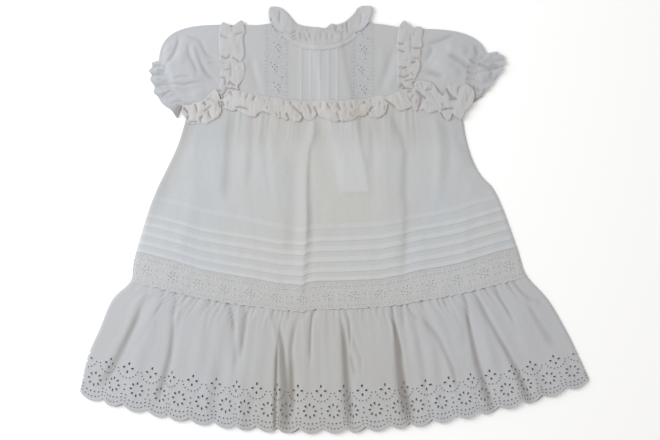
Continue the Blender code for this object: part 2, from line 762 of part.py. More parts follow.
def build_facing():
    """Strip that faces the opening on the inside of the back."""
    asides = (-FACING_HALF_WIDTH, -LIFT_FLAT, LIFT_FLAT, FACING_HALF_WIDTH)
    top, foot = OPENING_TOP.y - 5.0, OPENING_FOOT.y
    ys = (top, 176.0, 150.0, LIFT_FULL_Y, 125.0, LIFT_FOOT_Y, 75.0, foot)

    def plan(u, v):
        y = ys[round(v * (len(ys) - 1))]
        return opening_x(y) + asides[round(u * 3)], y

    upper, lower = layered(lambda u, v: back_lift(*plan(u, v)) + CLOTH + SEAM, plan)
    sheet("placket_facing", upper, lower, 3, len(ys) - 1, WHITE_COTTON)


def build_buttons():
    for number, y in enumerate(BUTTONS, start=1):
        form = bmesh.new()
        bmesh.ops.create_cone(form, cap_ends=True, segments=16, radius1=BUTTON_RADIUS * MM,
                              radius2=0.88 * BUTTON_RADIUS * MM, depth=BUTTON_THICK * MM)
        place = Vector((opening_x(y), y, BUTTON_THICK / 2.0)) * MM
        bmesh.ops.translate(form, verts=form.verts[:], vec=place)
        add_object(f"back_button_{number}", form, PEARL, 0.35)


def build_neck():
    """Binding over the neck edge, and the frill that stands up from it."""
    def binding_plan(u, v):
        return neck_point(mix(BINDING_END, 1.0 - BINDING_END, u), mix(-BINDING_WIDTH, -SEAM, v))

    def binding_height(u, v):
        return over_yoke(*binding_plan(u, v)) + YOKE_TUCK_RISE * soft(12.0 * min(u, 1.0 - u))

    upper, lower = layered(binding_height, binding_plan)
    sheet("neck_binding", upper, lower, 22, 1, WHITE_COTTON)

    def frill_line(u):
        base_x, tip_x, tip_y = row_at(NECK_FRILL, u)
        return base_x, neck_y(base_x) + NECK_GAP, tip_x, tip_y

    def frill(u, v):
        base_x, base_y, tip_x, tip_y = frill_line(u)
        base_y -= WING_SINK * soft(5.0 * abs(2.0 * u - 1.0) - 4.0)
        angle = uneven(u, NECK_FRILL_WAVES)
        rise = NECK_FRILL_RISE * (0.15 + 0.85 * v) * (0.8 + 0.2 * math.sin(9.0 * u))
        start = over_yoke(base_x, base_y) + 0.3
        x = mix(base_x, tip_x, v) + 0.55 * math.sin(2.0 * angle) * v
        y = mix(base_y, tip_y, v) + 0.8 * math.cos(angle) * v
        z = mix(start, 1.9, soft(v)) + rise * (1.0 + math.cos(angle))
        return x, y, z

    upper, lower = thickened(frill)
    sheet("neck_frill_front", upper, lower, NECK_FRILL_WAVES * WAVE_STEPS, 2, CREAM_COTTON)

    for side, start, end in (("left", 0.06, 0.535), ("right", 0.545, 0.94)):
        def plan(u, v, start=start, end=end):
            base_x, base_y, tip_x, tip_y = frill_line(mix(start, end, u))
            return mix(base_x, tip_x, 0.94 * v), mix(base_y, tip_y, 0.94 * v)

        upper, lower = layered(lambda u, v: 0.0, plan)
        sheet(f"neck_frill_back_{side}", upper, lower, 9, 2, CREAM_COTTON)


# ---------------------------------------------------------------- ruffles

def build_ruffle(name, table, waves, rise, base):
    """A gathered strip, sewn along its top edge and waved along its free edge."""
    def under(u, v):
        stitch_x, stitch_y, free_x, free_y = row_at(table, u)
        angle = uneven(u, waves)
        length = abs(table[-1].free_x - table[0].free_x) / waves
        height = rise * (0.3 + 0.7 * v) * (0.85 + 0.15 * math.sin(23.0 * u))
        x = mix(stitch_x, free_x, v) + SWING * length * math.sin(2.0 * angle) * (0.3 + 0.7 * v)
        y = mix(stitch_y, free_y, v) - 1.2 * math.cos(angle) * v
        return x, y, base(x, y) + height * (1.0 + math.cos(angle))

    upper, lower = thickened(under)
    sheet(name, upper, lower, waves * WAVE_STEPS, 3, CREAM_COTTON)


def build_shoulder_ruffle(side):
    """A strip gathered along its middle, whose two edges wave on their own."""
    crossings = (-1.0, -0.55, 0.0, 0.55, 1.0)
    table = SHOULDER_RUFFLE[side]
    length = (table[0].y - table[-1].y) / SHOULDER_WAVES

    def under(u, v):
        y, middle_x, left_reach, right_reach = row_at(table, u)
        place = v * (len(crossings) - 1)
        cross = mix(crossings[int(min(place, 3))], crossings[int(min(place, 3)) + 1],
                    place - int(min(place, 3)))
        reach = left_reach if cross < 0.0 else right_reach
        angle = uneven(u, SHOULDER_WAVES) + (0.0 if cross < 0.0 else 2.2) * abs(cross)
        wave = 0.12 + 0.88 * abs(cross)
        height = SHOULDER_RISE * wave * (0.85 + 0.15 * math.sin(19.0 * u))
        along_y = y - SWING * length * math.sin(2.0 * angle) * wave
        x = middle_x + cross * (reach + 1.2 * math.cos(angle))
        base = over_yoke(x, along_y) + 0.3
        return x, along_y, base + height * (1.0 + math.cos(angle))

    upper, lower = thickened(under)
    sheet(f"ruffle_shoulder_{side}", upper, lower, SHOULDER_WAVES * WAVE_STEPS, 4, CREAM_COTTON)


def build_ruffles():
    build_ruffle("ruffle_yoke", YOKE_RUFFLE, YOKE_RUFFLE_WAVES, YOKE_RUFFLE_RISE, over_skirt)
    for side in ("left", "right"):
        build_ruffle(f"ruffle_underarm_{side}", UNDERARM_RUFFLE[side], UNDERARM_WAVES,
                     UNDERARM_RISE, lambda x, y: over_yoke(x, y) + 0.7)
        build_shoulder_ruffle(side)


# ---------------------------------------------------------------- sleeves

FRONT_STEPS = 10         # steps round the front of a sleeve, from its top to the underarm
BACK_STEPS = 3
FOLD_STEPS = 2           # steps round each folded edge
FOLD_BULGE = 0.5         # how far the middle of a folded edge lies out or in
SLEEVE_END = 0.93        # share of the armhole, from the shoulder, that the sleeve fills


def ring_place(step, front_steps):
    """Where a step round a flattened tube lies: the part, and the share through it."""
    if step <= front_steps:
        return "front", step / front_steps
    step -= front_steps
    if step < FOLD_STEPS:
        return "low fold", step / FOLD_STEPS
    step -= FOLD_STEPS
    if step <= BACK_STEPS:
        return "back", 1.0 - step / BACK_STEPS
    return "top fold", (step - BACK_STEPS) / FOLD_STEPS


def flat_tube(name, plan, height, front_steps, rows, colour):
    """A flattened tube whose back lies on the table and whose front lies over it.

    plan gives the place of a share across and along it, and height the inside of the
    front there.
    """
    around = front_steps + BACK_STEPS + 2 * FOLD_STEPS
    edge_middle = (2.0 * CLOTH + SEAM) / 2.0

    def edge_point(edge, v, in_by):
        """Point at a folded edge, moved in at right angles to it."""
        here = Vector(plan(edge, v))
        run = Vector(plan(edge, min(v + 0.01, 1.0))) - Vector(plan(edge, max(v - 0.01, 0.0)))
        inward = Vector((-run.y, run.x)).normalized()
        if inward.dot(Vector(plan(0.5, v)) - here) < 0.0:
            inward.negate()
        return here + inward * in_by

    def outer(u, v):
        part, share = ring_place(round(u * around), front_steps)
        if part == "front":
            return *plan(share, v), height(share, v) + CLOTH
        if part == "back":
            return *plan(share, v), 0.0
        return *edge_point(1.0 if part == "low fold" else 0.0, v, -FOLD_BULGE), edge_middle

    def inner(u, v):
        part, share = ring_place(round(u * around), front_steps)
        if part in ("low fold", "top fold"):
            return *edge_point(1.0 if part == "low fold" else 0.0, v, FOLD_BULGE), edge_middle
        spot = edge_point(share, v, CLOTH) if share in (0.0, 1.0) else plan(share, v)
        return *spot, height(share, v) if part == "front" else CLOTH

    tube(name, outer, inner, around, rows, colour)


def build_sleeve(side):
    """Puff sleeve from the armhole to the line where its cuff is gathered."""
    top = SLEEVE_TOP[side]
    outward = -1.0 if side == "left" else 1.0
    armhole = ARMHOLE[side]
    cuff = CUFF[side]

    def arm_point(share):
        place = share * SLEEVE_END * (len(armhole) - 1)
        index = min(int(place), len(armhole) - 2)
        low, high = armhole[index], armhole[index + 1]
        return (mix(low.x, high.x, place - index) + outward * 0.2,
                mix(low.y, high.y, place - index))

    def cuff_point(share):
        return row_at(cuff, share)[:2]

    def plan(share, place):
        """Blend of the four edges of the sleeve."""
        first, last = bezier(top, 0.0), bezier(top, 1.0)
        under_first, under_last = arm_point(1.0), cuff_point(1.0)
        top_spot = bezier(top, place)
        under_spot = [mix(a, b, place) for a, b in zip(under_first, under_last)]
        arm_spot, cuff_spot = arm_point(share), cuff_point(share)
        spot = []
        for axis in (0, 1):
            ruled = mix(top_spot[axis], under_spot[axis], share)
            ruled += mix(arm_spot[axis], cuff_spot[axis], place)
            ruled -= mix(mix(first[axis], under_first[axis], share),
                         mix(last[axis], under_last[axis], share), place)
            spot.append(ruled)
        return tuple(spot)

    def height(share, place):
        x, y = plan(share, place)
        dome = soft(share / 0.3) * soft((0.8 - share) / 0.3)
        swell = soft((place - 0.12) / 0.35) * (1.0 - 0.5 * soft((place - 0.75) / 0.25))
        edge = soft(share / 0.12) * soft((1.0 - share) / 0.12)
        folds = fold_rise(SLEEVE_FOLDS[side], x, y) * soft((place - 0.15) / 0.2)
        gather = 0.7 * soft((place - 0.7) / 0.3) * (
            0.5 + 0.5 * math.cos(math.tau * CUFF_WAVES * share))
        lift = 0.3 + SLEEVE_DOME * dome * swell + folds + gather
        return CLOTH + SEAM + edge * max(lift, 0.0)

    flat_tube(f"sleeve_{side}", plan, height, FRONT_STEPS, 8, WHITE_COTTON)


def build_cuff_frill(side):
    """Frill beyond the gathered line of the cuff."""
    table = CUFF[side]

    def plan(share, place):
        gather_x, gather_y, free_x, free_y = row_at(table, share)
        angle = math.tau * CUFF_WAVES * share
        length = math.hypot(free_x - gather_x, free_y - gather_y)
        reach = mix(ARM_SEAM, length + math.cos(angle) * place, place) / length
        return mix(gather_x, free_x, reach), mix(gather_y, free_y, reach)

    def height(share, place):
        edge = soft(share / 0.1) * soft((1.0 - share) / 0.1)
        angle = math.tau * CUFF_WAVES * share
        wave = CUFF_RISE * (0.45 + 0.55 * place) * (1.0 + math.cos(angle))
        return CLOTH + SEAM + edge * (0.3 + wave)

    flat_tube(f"cuff_frill_{side}", plan, height, CUFF_WAVES * 4, 3, CREAM_COTTON)


# ---------------------------------------------------------------- the whole dress

def centre_on_table():
    """Move every piece so that the dress is centred over the origin, on the table."""
    corners = [piece.matrix_world @ Vector(corner)
               for piece in bpy.data.objects for corner in piece.bound_box]
    shift = Vector((
        -(min(c.x for c in corners) + max(c.x for c in corners)) / 2.0,
        -(min(c.y for c in corners) + max(c.y for c in corners)) / 2.0,
        -min(c.z for c in corners)))
    for piece in bpy.data.objects:
        piece.data.transform(piece.matrix_world.Translation(shift))
    print("centred by", [round(value / MM, 3) for value in shift], "mm")


def main():
    for old in list(bpy.data.objects):
        bpy.data.objects.remove(old, do_unlink=True)
    build_skirt_front()
    build_skirt_back()
    build_lace_band()
    build_flounce()
    build_yoke_front()
    build_yoke_back()
    build_facing()
    build_buttons()
    build_neck()
    build_ruffles()
    for side in ("left", "right"):
        build_sleeve(side)
        build_cuff_frill(side)
    centre_on_table()


main()
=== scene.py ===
"""Looks of a toddler's white cotton dress that lies flat on a pale table, its front up.

Sizes are millimetres of the laid dress: X across it, Y from the hem up to the neck and Z
up from the table.  Some tables state places in pixels of the view from above, and
line, fold and the functions beside them turn these into millimetres.  "left" and "right"
are the sides that a person looking down at the front sees.  Every piece is drawn flat, in
the cloth's own cut, and is then laid on the form of the solids.  Meshes are written in
metres, in the frame of the solids.
"""

import logging
import math
from dataclasses import dataclass, field
from enum import Enum
from itertools import chain, cycle
from random import Random
from typing import Callable, NamedTuple, Sequence

import bmesh
import bpy
from mathutils import Matrix, Vector, noise


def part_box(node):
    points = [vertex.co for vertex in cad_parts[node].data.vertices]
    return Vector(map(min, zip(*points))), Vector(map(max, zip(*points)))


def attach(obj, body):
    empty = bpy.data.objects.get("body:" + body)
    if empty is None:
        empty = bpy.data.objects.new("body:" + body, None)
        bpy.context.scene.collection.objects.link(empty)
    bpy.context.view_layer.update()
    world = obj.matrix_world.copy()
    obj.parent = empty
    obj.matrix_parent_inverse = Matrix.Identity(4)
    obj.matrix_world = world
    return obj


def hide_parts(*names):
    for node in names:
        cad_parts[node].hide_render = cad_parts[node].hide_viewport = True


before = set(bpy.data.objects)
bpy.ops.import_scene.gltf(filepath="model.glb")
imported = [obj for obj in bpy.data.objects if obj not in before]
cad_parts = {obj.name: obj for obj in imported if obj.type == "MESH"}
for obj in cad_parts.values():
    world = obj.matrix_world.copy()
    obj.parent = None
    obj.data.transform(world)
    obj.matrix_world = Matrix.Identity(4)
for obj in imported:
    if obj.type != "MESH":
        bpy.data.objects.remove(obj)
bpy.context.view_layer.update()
LOG = logging.getLogger("dress")

MM = 0.001
SHELL = 0.4              # thickness of the cloth itself
WALL = 1.0               # thickness of one layer of the solids
SEAM = 0.3               # gap of the solids between layers and at seams
ARM_SEAM = 0.8           # gap of the solids along the armhole
TINY = 1e-9              # keeps a division by a length of nothing apart
SIDE_ROLL = 4.0          # width over which the front rounds down to the side seam


class Side(Enum):
    """The side of the dress, as seen from above."""

    LEFT = "left"
    RIGHT = "right"

    @property
    def outward(self) -> float:
        """Direction of X that leads away from the middle of the dress."""
        return -1.0 if self is Side.LEFT else 1.0


# ---------------------------------------------------------------- tables of the cut

class Level(NamedTuple):
    """A line across the body, from side seam to side seam."""

    name: str
    left_x: float
    left_y: float
    right_x: float
    right_y: float
    middle_y: float


LEVELS = (
    Level("yoke seam", -177.8, 122.7, 153.4, 128.7, 142.5),
    Level("chest", -187.4, 90.3, 159.4, 92.7, 99.9),
    Level("waist", -201.2, 60.3, 171.2, 61.5, 56.7),
    Level("hip", -214.4, 32.7, 191.6, 33.9, 15.9),
    Level("first tuck", -224.6, 5.1, 203.2, 9.9, -15.3),
    Level("band top", -239.3, -45.3, 222.4, -42.9, -72.9),
    Level("band foot", -244.7, -75.3, 232.0, -70.5, -106.0),
    Level("flounce head", -266.6, -96.9, 257.4, -98.0, -127.0),
    Level("flounce third", -281.0, -130.0, 277.0, -130.0, -163.0),
    Level("flounce two thirds", -296.0, -165.0, 292.0, -160.0, -206.0),
    Level("hem", -305.5, -208.0, 307.0, -192.9, -252.0),
)
LEVEL_COLUMNS = list(zip(*LEVELS))[1:]
FIRST_TUCK = 4
BAND_TOP = 5
BAND_FOOT = 6
HEM = 10

SEAM_LOW_Y = 143.7
SEAM_LOW_X = -19.0
SEAM_SAG = 6.2           # rise of the yoke seam 100 mm to either side of its low point
LACE_EDGES = (-83.0, -55.4, 20.8, 47.8)
YOKE_TUCKS = 5
YOKE_TUCK_FIRST_X = -44.6
YOKE_TUCK_PITCH = 10.8

NECK_X = -17.0
NECK_LOW_Y = 208.0
NECK_DEPTH = 29.0
NECK_HALF_WIDTH = 52.0
NECK_POWER = 2.6
NECK_REACH = 50.5
NECK_GAP = 1.0


class Spot(NamedTuple):
    """A place in plan."""

    x: float
    y: float


SHOULDER = (Spot(-123.2, 233.7), Spot(-90.0, 233.9), Spot(-66.0, 237.0),
            Spot(35.0, 237.0), Spot(61.0, 234.3), Spot(92.8, 228.3))
ARMHOLE = {
    Side.LEFT: (Spot(-123.2, 233.7), Spot(-122.6, 212.0), Spot(-122.6, 190.0),
                Spot(-124.0, 170.0), Spot(-131.0, 151.5), Spot(-148.8, 136.0),
                Spot(-177.8, 122.7)),
    Side.RIGHT: (Spot(92.8, 228.3), Spot(92.0, 208.0), Spot(92.0, 188.0),
                 Spot(94.0, 170.0), Spot(101.0, 152.5), Spot(122.0, 139.5),
                 Spot(153.4, 128.7)),
}

OPENING_TOP = Spot(-8.6, 209.0)
OPENING_FOOT = Spot(25.6, 34.0)
OPENING_HALF_GAP = 0.4
SLIT_END_Y = 46.0
FACING_HALF_WIDTH = 16.0
BUTTONS = (198.0, 176.0, 154.0)
BUTTON_LIFT = 1.9
LIFT_FLAT = 6.5
LIFT_END = 20.0
LIFT_FOOT_Y = 112.0
LIFT_FULL_Y = 138.0

EASE = (0.5, 1.7, 1.9, 1.8, 1.5, 1.3, 1.3)   # of the front over the back, to the band foot
SIDE_FADE = 0.13
YOKE_EASE = 0.4

SKIRT_GATHERS = 15
SKIRT_GATHER_RISE = 1.1
GATHER_REACH = 0.70
TUCKS = 5
SCALLOPS = 23
SCALLOP_DEPTH = 7.0
FLOUNCE_GATHERS = 31
FLOUNCE_GATHER_RISE = 1.3
FLOUNCE_EASE = 1.9


class FrillLine(NamedTuple):
    """Foot of the neck frill on the neck edge, and its tip."""

    base_x: float
    tip_x: float
    tip_y: float


NECK_FRILL = (
    FrillLine(-67.0, -80.0, 248.5), FrillLine(-64.5, -71.0, 257.5),
    FrillLine(-57.5, -55.0, 244.5), FrillLine(-47.0, -44.6, 235.6),
    FrillLine(-30.2, -28.0, 232.6), FrillLine(-15.0, -14.6, 231.8),
    FrillLine(-1.4, -3.4, 234.4), FrillLine(13.0, 10.5, 238.2),
    FrillLine(24.0, 22.5, 247.2), FrillLine(29.5, 36.5, 257.5),
    FrillLine(34.0, 47.5, 251.0),
)


class CuffLine(NamedTuple):
    """Gathered line of a cuff, and the free edge of its frill."""

    gather_x: float
    gather_y: float
    free_x: float
    free_y: float


SLEEVE_TOP = {
    Side.LEFT: (Spot(-123.2, 233.7), Spot(-190.0, 236.0), Spot(-208.0, 222.0),
                Spot(-209.8, 191.1)),
    Side.RIGHT: (Spot(92.8, 228.3), Spot(142.0, 230.5), Spot(174.0, 224.0),
                 Spot(182.2, 199.3)),
}
CUFF = {
    Side.LEFT: (CuffLine(-209.8, 191.1, -217.5, 189.0), CuffLine(-205.4, 177.9, -220.3, 177.0),
                CuffLine(-200.6, 163.5, -216.6, 161.0), CuffLine(-192.5, 150.0, -211.0, 146.5),
                CuffLine(-183.0, 138.0, -188.0, 124.0)),
    Side.RIGHT: (CuffLine(182.2, 199.3, 193.0, 201.6), CuffLine(172.5, 186.0, 204.4, 194.0),
                 CuffLine(167.5, 168.0, 199.5, 177.5), CuffLine(166.0, 152.0, 187.0, 160.0),
                 CuffLine(164.0, 139.0, 176.5, 148.0)),
}
SLEEVE_END = 0.93
SLEEVE_DOME = 3.4
CUFF_RISE = 1.5


# ---------------------------------------------------------------- small arithmetic

def mix(first: float, second: float, share: float) -> float:
    """Value that lies a share of the way from first to second."""
    return first + (second - first) * share


def clamp(value: float, low: float = 0.0, high: float = 1.0) -> float:
    """Value held between low and high."""
    return max(low, min(high, value))


def soft(value: float) -> float:
    """Smooth step from 0 to 1 while value goes from 0 to 1."""
    value = clamp(value)
    return value * value * (3.0 - 2.0 * value)


def along(values: Sequence[float], place: float) -> float:
    """Smooth value at a place in an evenly spaced row of values."""
    last = len(values) - 1
    index = int(clamp(place, 0, last - 1e-9))
    share = place - index
    here, after = values[index], values[index + 1]
    before = values[index - 1] if index > 0 else 2.0 * here - after
    beyond = values[index + 2] if index + 2 <= last else 2.0 * after - here
    slope_here = (after - before) / 2.0
    slope_after = (beyond - here) / 2.0
    square, cube = share ** 2, share ** 3
    return (here * (2 * cube - 3 * square + 1) + slope_here * (cube - 2 * square + share)
            + after * (3 * square - 2 * cube) + slope_after * (cube - square))


def row_at(table: Sequence[tuple], share: float) -> tuple[float, ...]:
    """Each column of a table at a share of its length, smoothly."""
    place = share * (len(table) - 1)
    return tuple(along(column, place) for column in zip(*table))


def straight(table: Sequence[Spot], place: float, by_y: bool = False) -> float:
    """Read a table of spots in straight steps.

    Args:
        table: the spots.
        place: the x at which to read y, or the y at which to read x.
        by_y: read x from y.

    Returns:
        The other coordinate.
    """
    key, value = (1, 0) if by_y else (0, 1)
    rows = sorted(table, key=lambda row: row[key])
    if place <= rows[0][key]:
        return rows[0][value]
    for low, high in zip(rows, rows[1:]):
        if place <= high[key]:
            return mix(low[value], high[value], (place - low[key]) / (high[key] - low[key] + TINY))
    return rows[-1][value]


def bezier(spots: Sequence[Spot], share: float) -> Spot:
    """Point on a cubic curve with four control spots."""
    rest = 1.0 - share
    weights = (rest ** 3, 3 * share * rest ** 2, 3 * rest * share ** 2, share ** 3)
    return Spot(sum(w * spot.x for w, spot in zip(weights, spots)),
                sum(w * spot.y for w, spot in zip(weights, spots)))


def crumple(x: float, y: float, size: float, seed: float) -> float:
    """Small unevenness of laid cloth, about -1 to 1, longer down the dress than across."""
    return noise.noise(Vector((x / size, y / (2.2 * size), seed)))


class Crease(NamedTuple):
    """A soft ridge (or a trough, with a negative rise) along a broken line."""

    path: tuple[tuple[float, float], ...]
    rise: float
    width: float
    lean: float = 0.0        # how far the ridge is pushed to its right
    crisp: float = 0.0       # 0 for a round ridge, 1 for a sharp one
    step: float = 0.0        # how much higher the cloth lies to its right than to its left
    taper: float = 1.0       # share of its width at its start


class Creases:
    """All the creases of a piece."""

    def __init__(self, *creases: Crease) -> None:
        """Keep the creases, each with the box outside which it does nothing."""
        self.rows = []
        for crease in creases:
            xs, ys = zip(*crease.path)
            far = (6.0 if crease.step else 3.0) * crease.width
            self.rows.append((crease, min(xs) - far, max(xs) + far, min(ys) - far,
                              max(ys) + far))

    def widened(self, times: float, share: float) -> "Creases":
        """The same creases, broader and with a share of their rise."""
        return Creases(*(row[0]._replace(rise=row[0].rise * share, width=row[0].width * times,
                                         step=0.0) for row in self.rows))

    @staticmethod
    def near(path: Sequence[tuple[float, float]], x: float, y: float
             ) -> tuple[float, float, float, float]:
        """How a place lies to a broken line.

        Returns:
            The distance (negative to its left), the share along it, and its direction.
        """
        best, done = (math.inf, 0.0, 0.0, 0.0, 1.0), 0.0
        for (x1, y1), (x2, y2) in zip(path, path[1:]):
            run_x, run_y = x2 - x1, y2 - y1
            length = math.hypot(run_x, run_y)
            share = clamp(((x - x1) * run_x + (y - y1) * run_y) / length ** 2)
            off_x, off_y = x - x1 - run_x * share, y - y1 - run_y * share
            distance = math.hypot(off_x, off_y)
            if distance < best[0]:
                side = math.copysign(1.0, off_x * run_y - off_y * run_x)
                best = (distance, side, done + share * length, run_x / length, run_y / length)
            done += length
        return best[0] * best[1], best[2] / done, best[3], best[4]

    def at(self, x: float, y: float) -> tuple[float, float, float]:
        """Push along X and Y and the rise that the creases give a place."""
        push_x = push_y = rise = 0.0
        for crease, low_x, high_x, low_y, high_y in self.rows:
            if not (low_x < x < high_x and low_y < y < high_y):
                continue
            aside, share, way_x, way_y = self.near(crease.path, x, y)
            aside /= crease.width * mix(crease.taper, 1.0, share)
            ends = soft(3.5 * min(share, 1 - share))
            if crease.step and abs(aside) < 6.0:
                rise += 0.5 * crease.step * ends * math.tanh(2.0 * aside) * math.exp(
                    -0.5 * abs(aside))
            if abs(aside) > 3.0:
                continue
            round_form = math.exp(-aside ** 2)
            sharp_form = math.exp(-1.5 * (math.sqrt(aside ** 2 + 0.03) - 0.173))
            form = ends * mix(round_form, sharp_form, crease.crisp)
            rise += crease.rise * form
            push_x += crease.lean * form * way_y
            push_y -= crease.lean * form * way_x
        return push_x, push_y, rise


# ---------------------------------------------------------------- places in the view

PIXEL = 1.2                      # mm of the dress that a pixel of the view from above covers
ORIGIN = Spot(334.2, 220.25)     # pixel of the view at which X and Y are 0
# Close view of the left sleeve: its first pixel in the whole view, and how many of its
# pixels make one of the whole view's, first across and then down.
SLEEVE_VIEW = ((148.0, 7.017), (22.0, 7.01))
FLOUNCE_SEAM = (
    130, 282, 140, 284.5, 150, 288, 165, 291, 175, 293.5, 186, 295.5, 200, 298.5, 218, 300.5,
     228, 302.5, 240, 304.5, 250, 306, 266, 308, 283, 309, 300, 309.5, 315, 309, 345, 307.5,
     375, 305, 390, 303.5, 400, 302, 412, 300, 440, 297, 460, 293.5, 480, 289.5, 500, 284.5,
     519, 279.5
)
NEAR_SEAM = 7.0          # pixels below the flounce's seam in which a crease comes out of it
RUN_ON = 18.0            # pixels by which a crease that ends low runs on over the hem


def pairs(places: Sequence[float]) -> list[Spot]:
    """Spots from numbers written across, down, across, down and so on."""
    return [Spot(*pair) for pair in zip(places[::2], places[1::2])]


def line(*places: float) -> tuple[Spot, ...]:
    """Line in millimetres, to a tenth, through places in the pixels of the view."""
    return tuple(Spot(round((spot.x - ORIGIN.x) * PIXEL, 1),
                      round((ORIGIN.y - spot.y) * PIXEL, 1)) for spot in pairs(places))


def fold(rise: float, width: float, *places: float, **more: float) -> Crease:
    """Crease through places in the pixels of the view."""
    return Crease(line(*places), rise, width, **more)


def sleeve_fold(rise: float, width: float, *places: float) -> Crease:
    """Crease of the left sleeve, through places in the pixels of its close view."""
    return fold(rise, width, *(first + place / scale for place, (first, scale)
                               in zip(places, cycle(SLEEVE_VIEW))))


def beyond(start: Spot, end: Spot, more: float) -> Spot:
    """Place some way beyond the end of a straight run."""
    share = more / math.dist(start, end)
    return Spot(round(end.x + (end.x - start.x) * share, 1),
                round(end.y + (end.y - start.y) * share, 1))


def flounce_fold(rise: float, width: float, *places: float, **more: float) -> Crease:
    """Crease of the flounce, which runs on under the band and over the hem.

    Args:
        rise: how high its ridge is.
        width: how broad it is.
        places: where it shows, in the pixels of the view.
        more: its step or its taper.  A tapered one starts where it says.

    Returns:
        The crease.
    """
    spots = pairs(places)
    seam_y = straight(pairs(FLOUNCE_SEAM), spots[0].x)
    if "taper" not in more and spots[0].y - seam_y < NEAR_SEAM:
        length = sum(math.dist(*pair) for pair in zip(spots, spots[1:]))
        spots[0] = beyond(spots[1], spots[0], min(9.0, 0.35 * length + 1.5))
    if spots[-1].y > max(375.0, 396.0 - 0.1 * abs(spots[-1].x - 300.0)):
        spots[-1] = beyond(spots[-2], spots[-1], RUN_ON)
    return fold(rise, width, *chain(*spots), **more)


SKIRT_CREASES = Creases(
    Crease(((-118, 155), (-124, 100), (-128, 45), (-133, 5)), -1.4, 6),
    Crease(((-103, 155), (-106, 84), (-110, 26)), 0.8, 6),
    Crease(((-96, 160), (-98, 84), (-100, 35)), -0.6, 4),
    Crease(((-81, 112), (-76, 60), (-72, 0)), 0.9, 9),
    Crease(((-84, 122), (-80, 70), (-73, 10)), -0.8, 5),
    Crease(((-22, 150), (-26, 106), (-33, 86), (-35.5, 50), (-36, 5), (-38, -48)), 1.9, 6,
           -2.2, 0.75),
    Crease(((-36, 30), (-36, -20), (-38, -45), (-44, -110)), 1.1, 6, -1.2, 0.4),
    Crease(((-30, 118), (-30, 60), (-27, -20), (-32, -100)), -0.9, 5),
    Crease(((-50, 110), (-52, -60)), -0.8, 9),
    Crease(((44, 170), (64, 128), (75, 108), (81, 96), (85, 80), (83, 62), (83, 30), (86, 12),
            (85, -20), (79, -96)), -1.1, 5.5, step=1.7),
    Crease(((118, 150), (126, 84), (125, 50), (124, 6)), 1.3, 6),
    Crease(((128, 150), (138, 84), (134, 40)), -0.9, 5),
    Crease(((56, 118), (62, 60), (63, -60)), 0.7, 9),
    Crease(((150, 98), (156, 84), (168, 58)), -1.2, 5),
    Crease(((2, 122), (10, 70), (12, 20)), 0.7, 10), Crease(((150, 20), (165, -80)), 0.9, 12),
    Crease(((-165, 60), (-176, 10), (-190, -60)), 0.9, 12),
    Crease(((44, 120), (46, 84), (44, 50)), -0.7, 4),
)
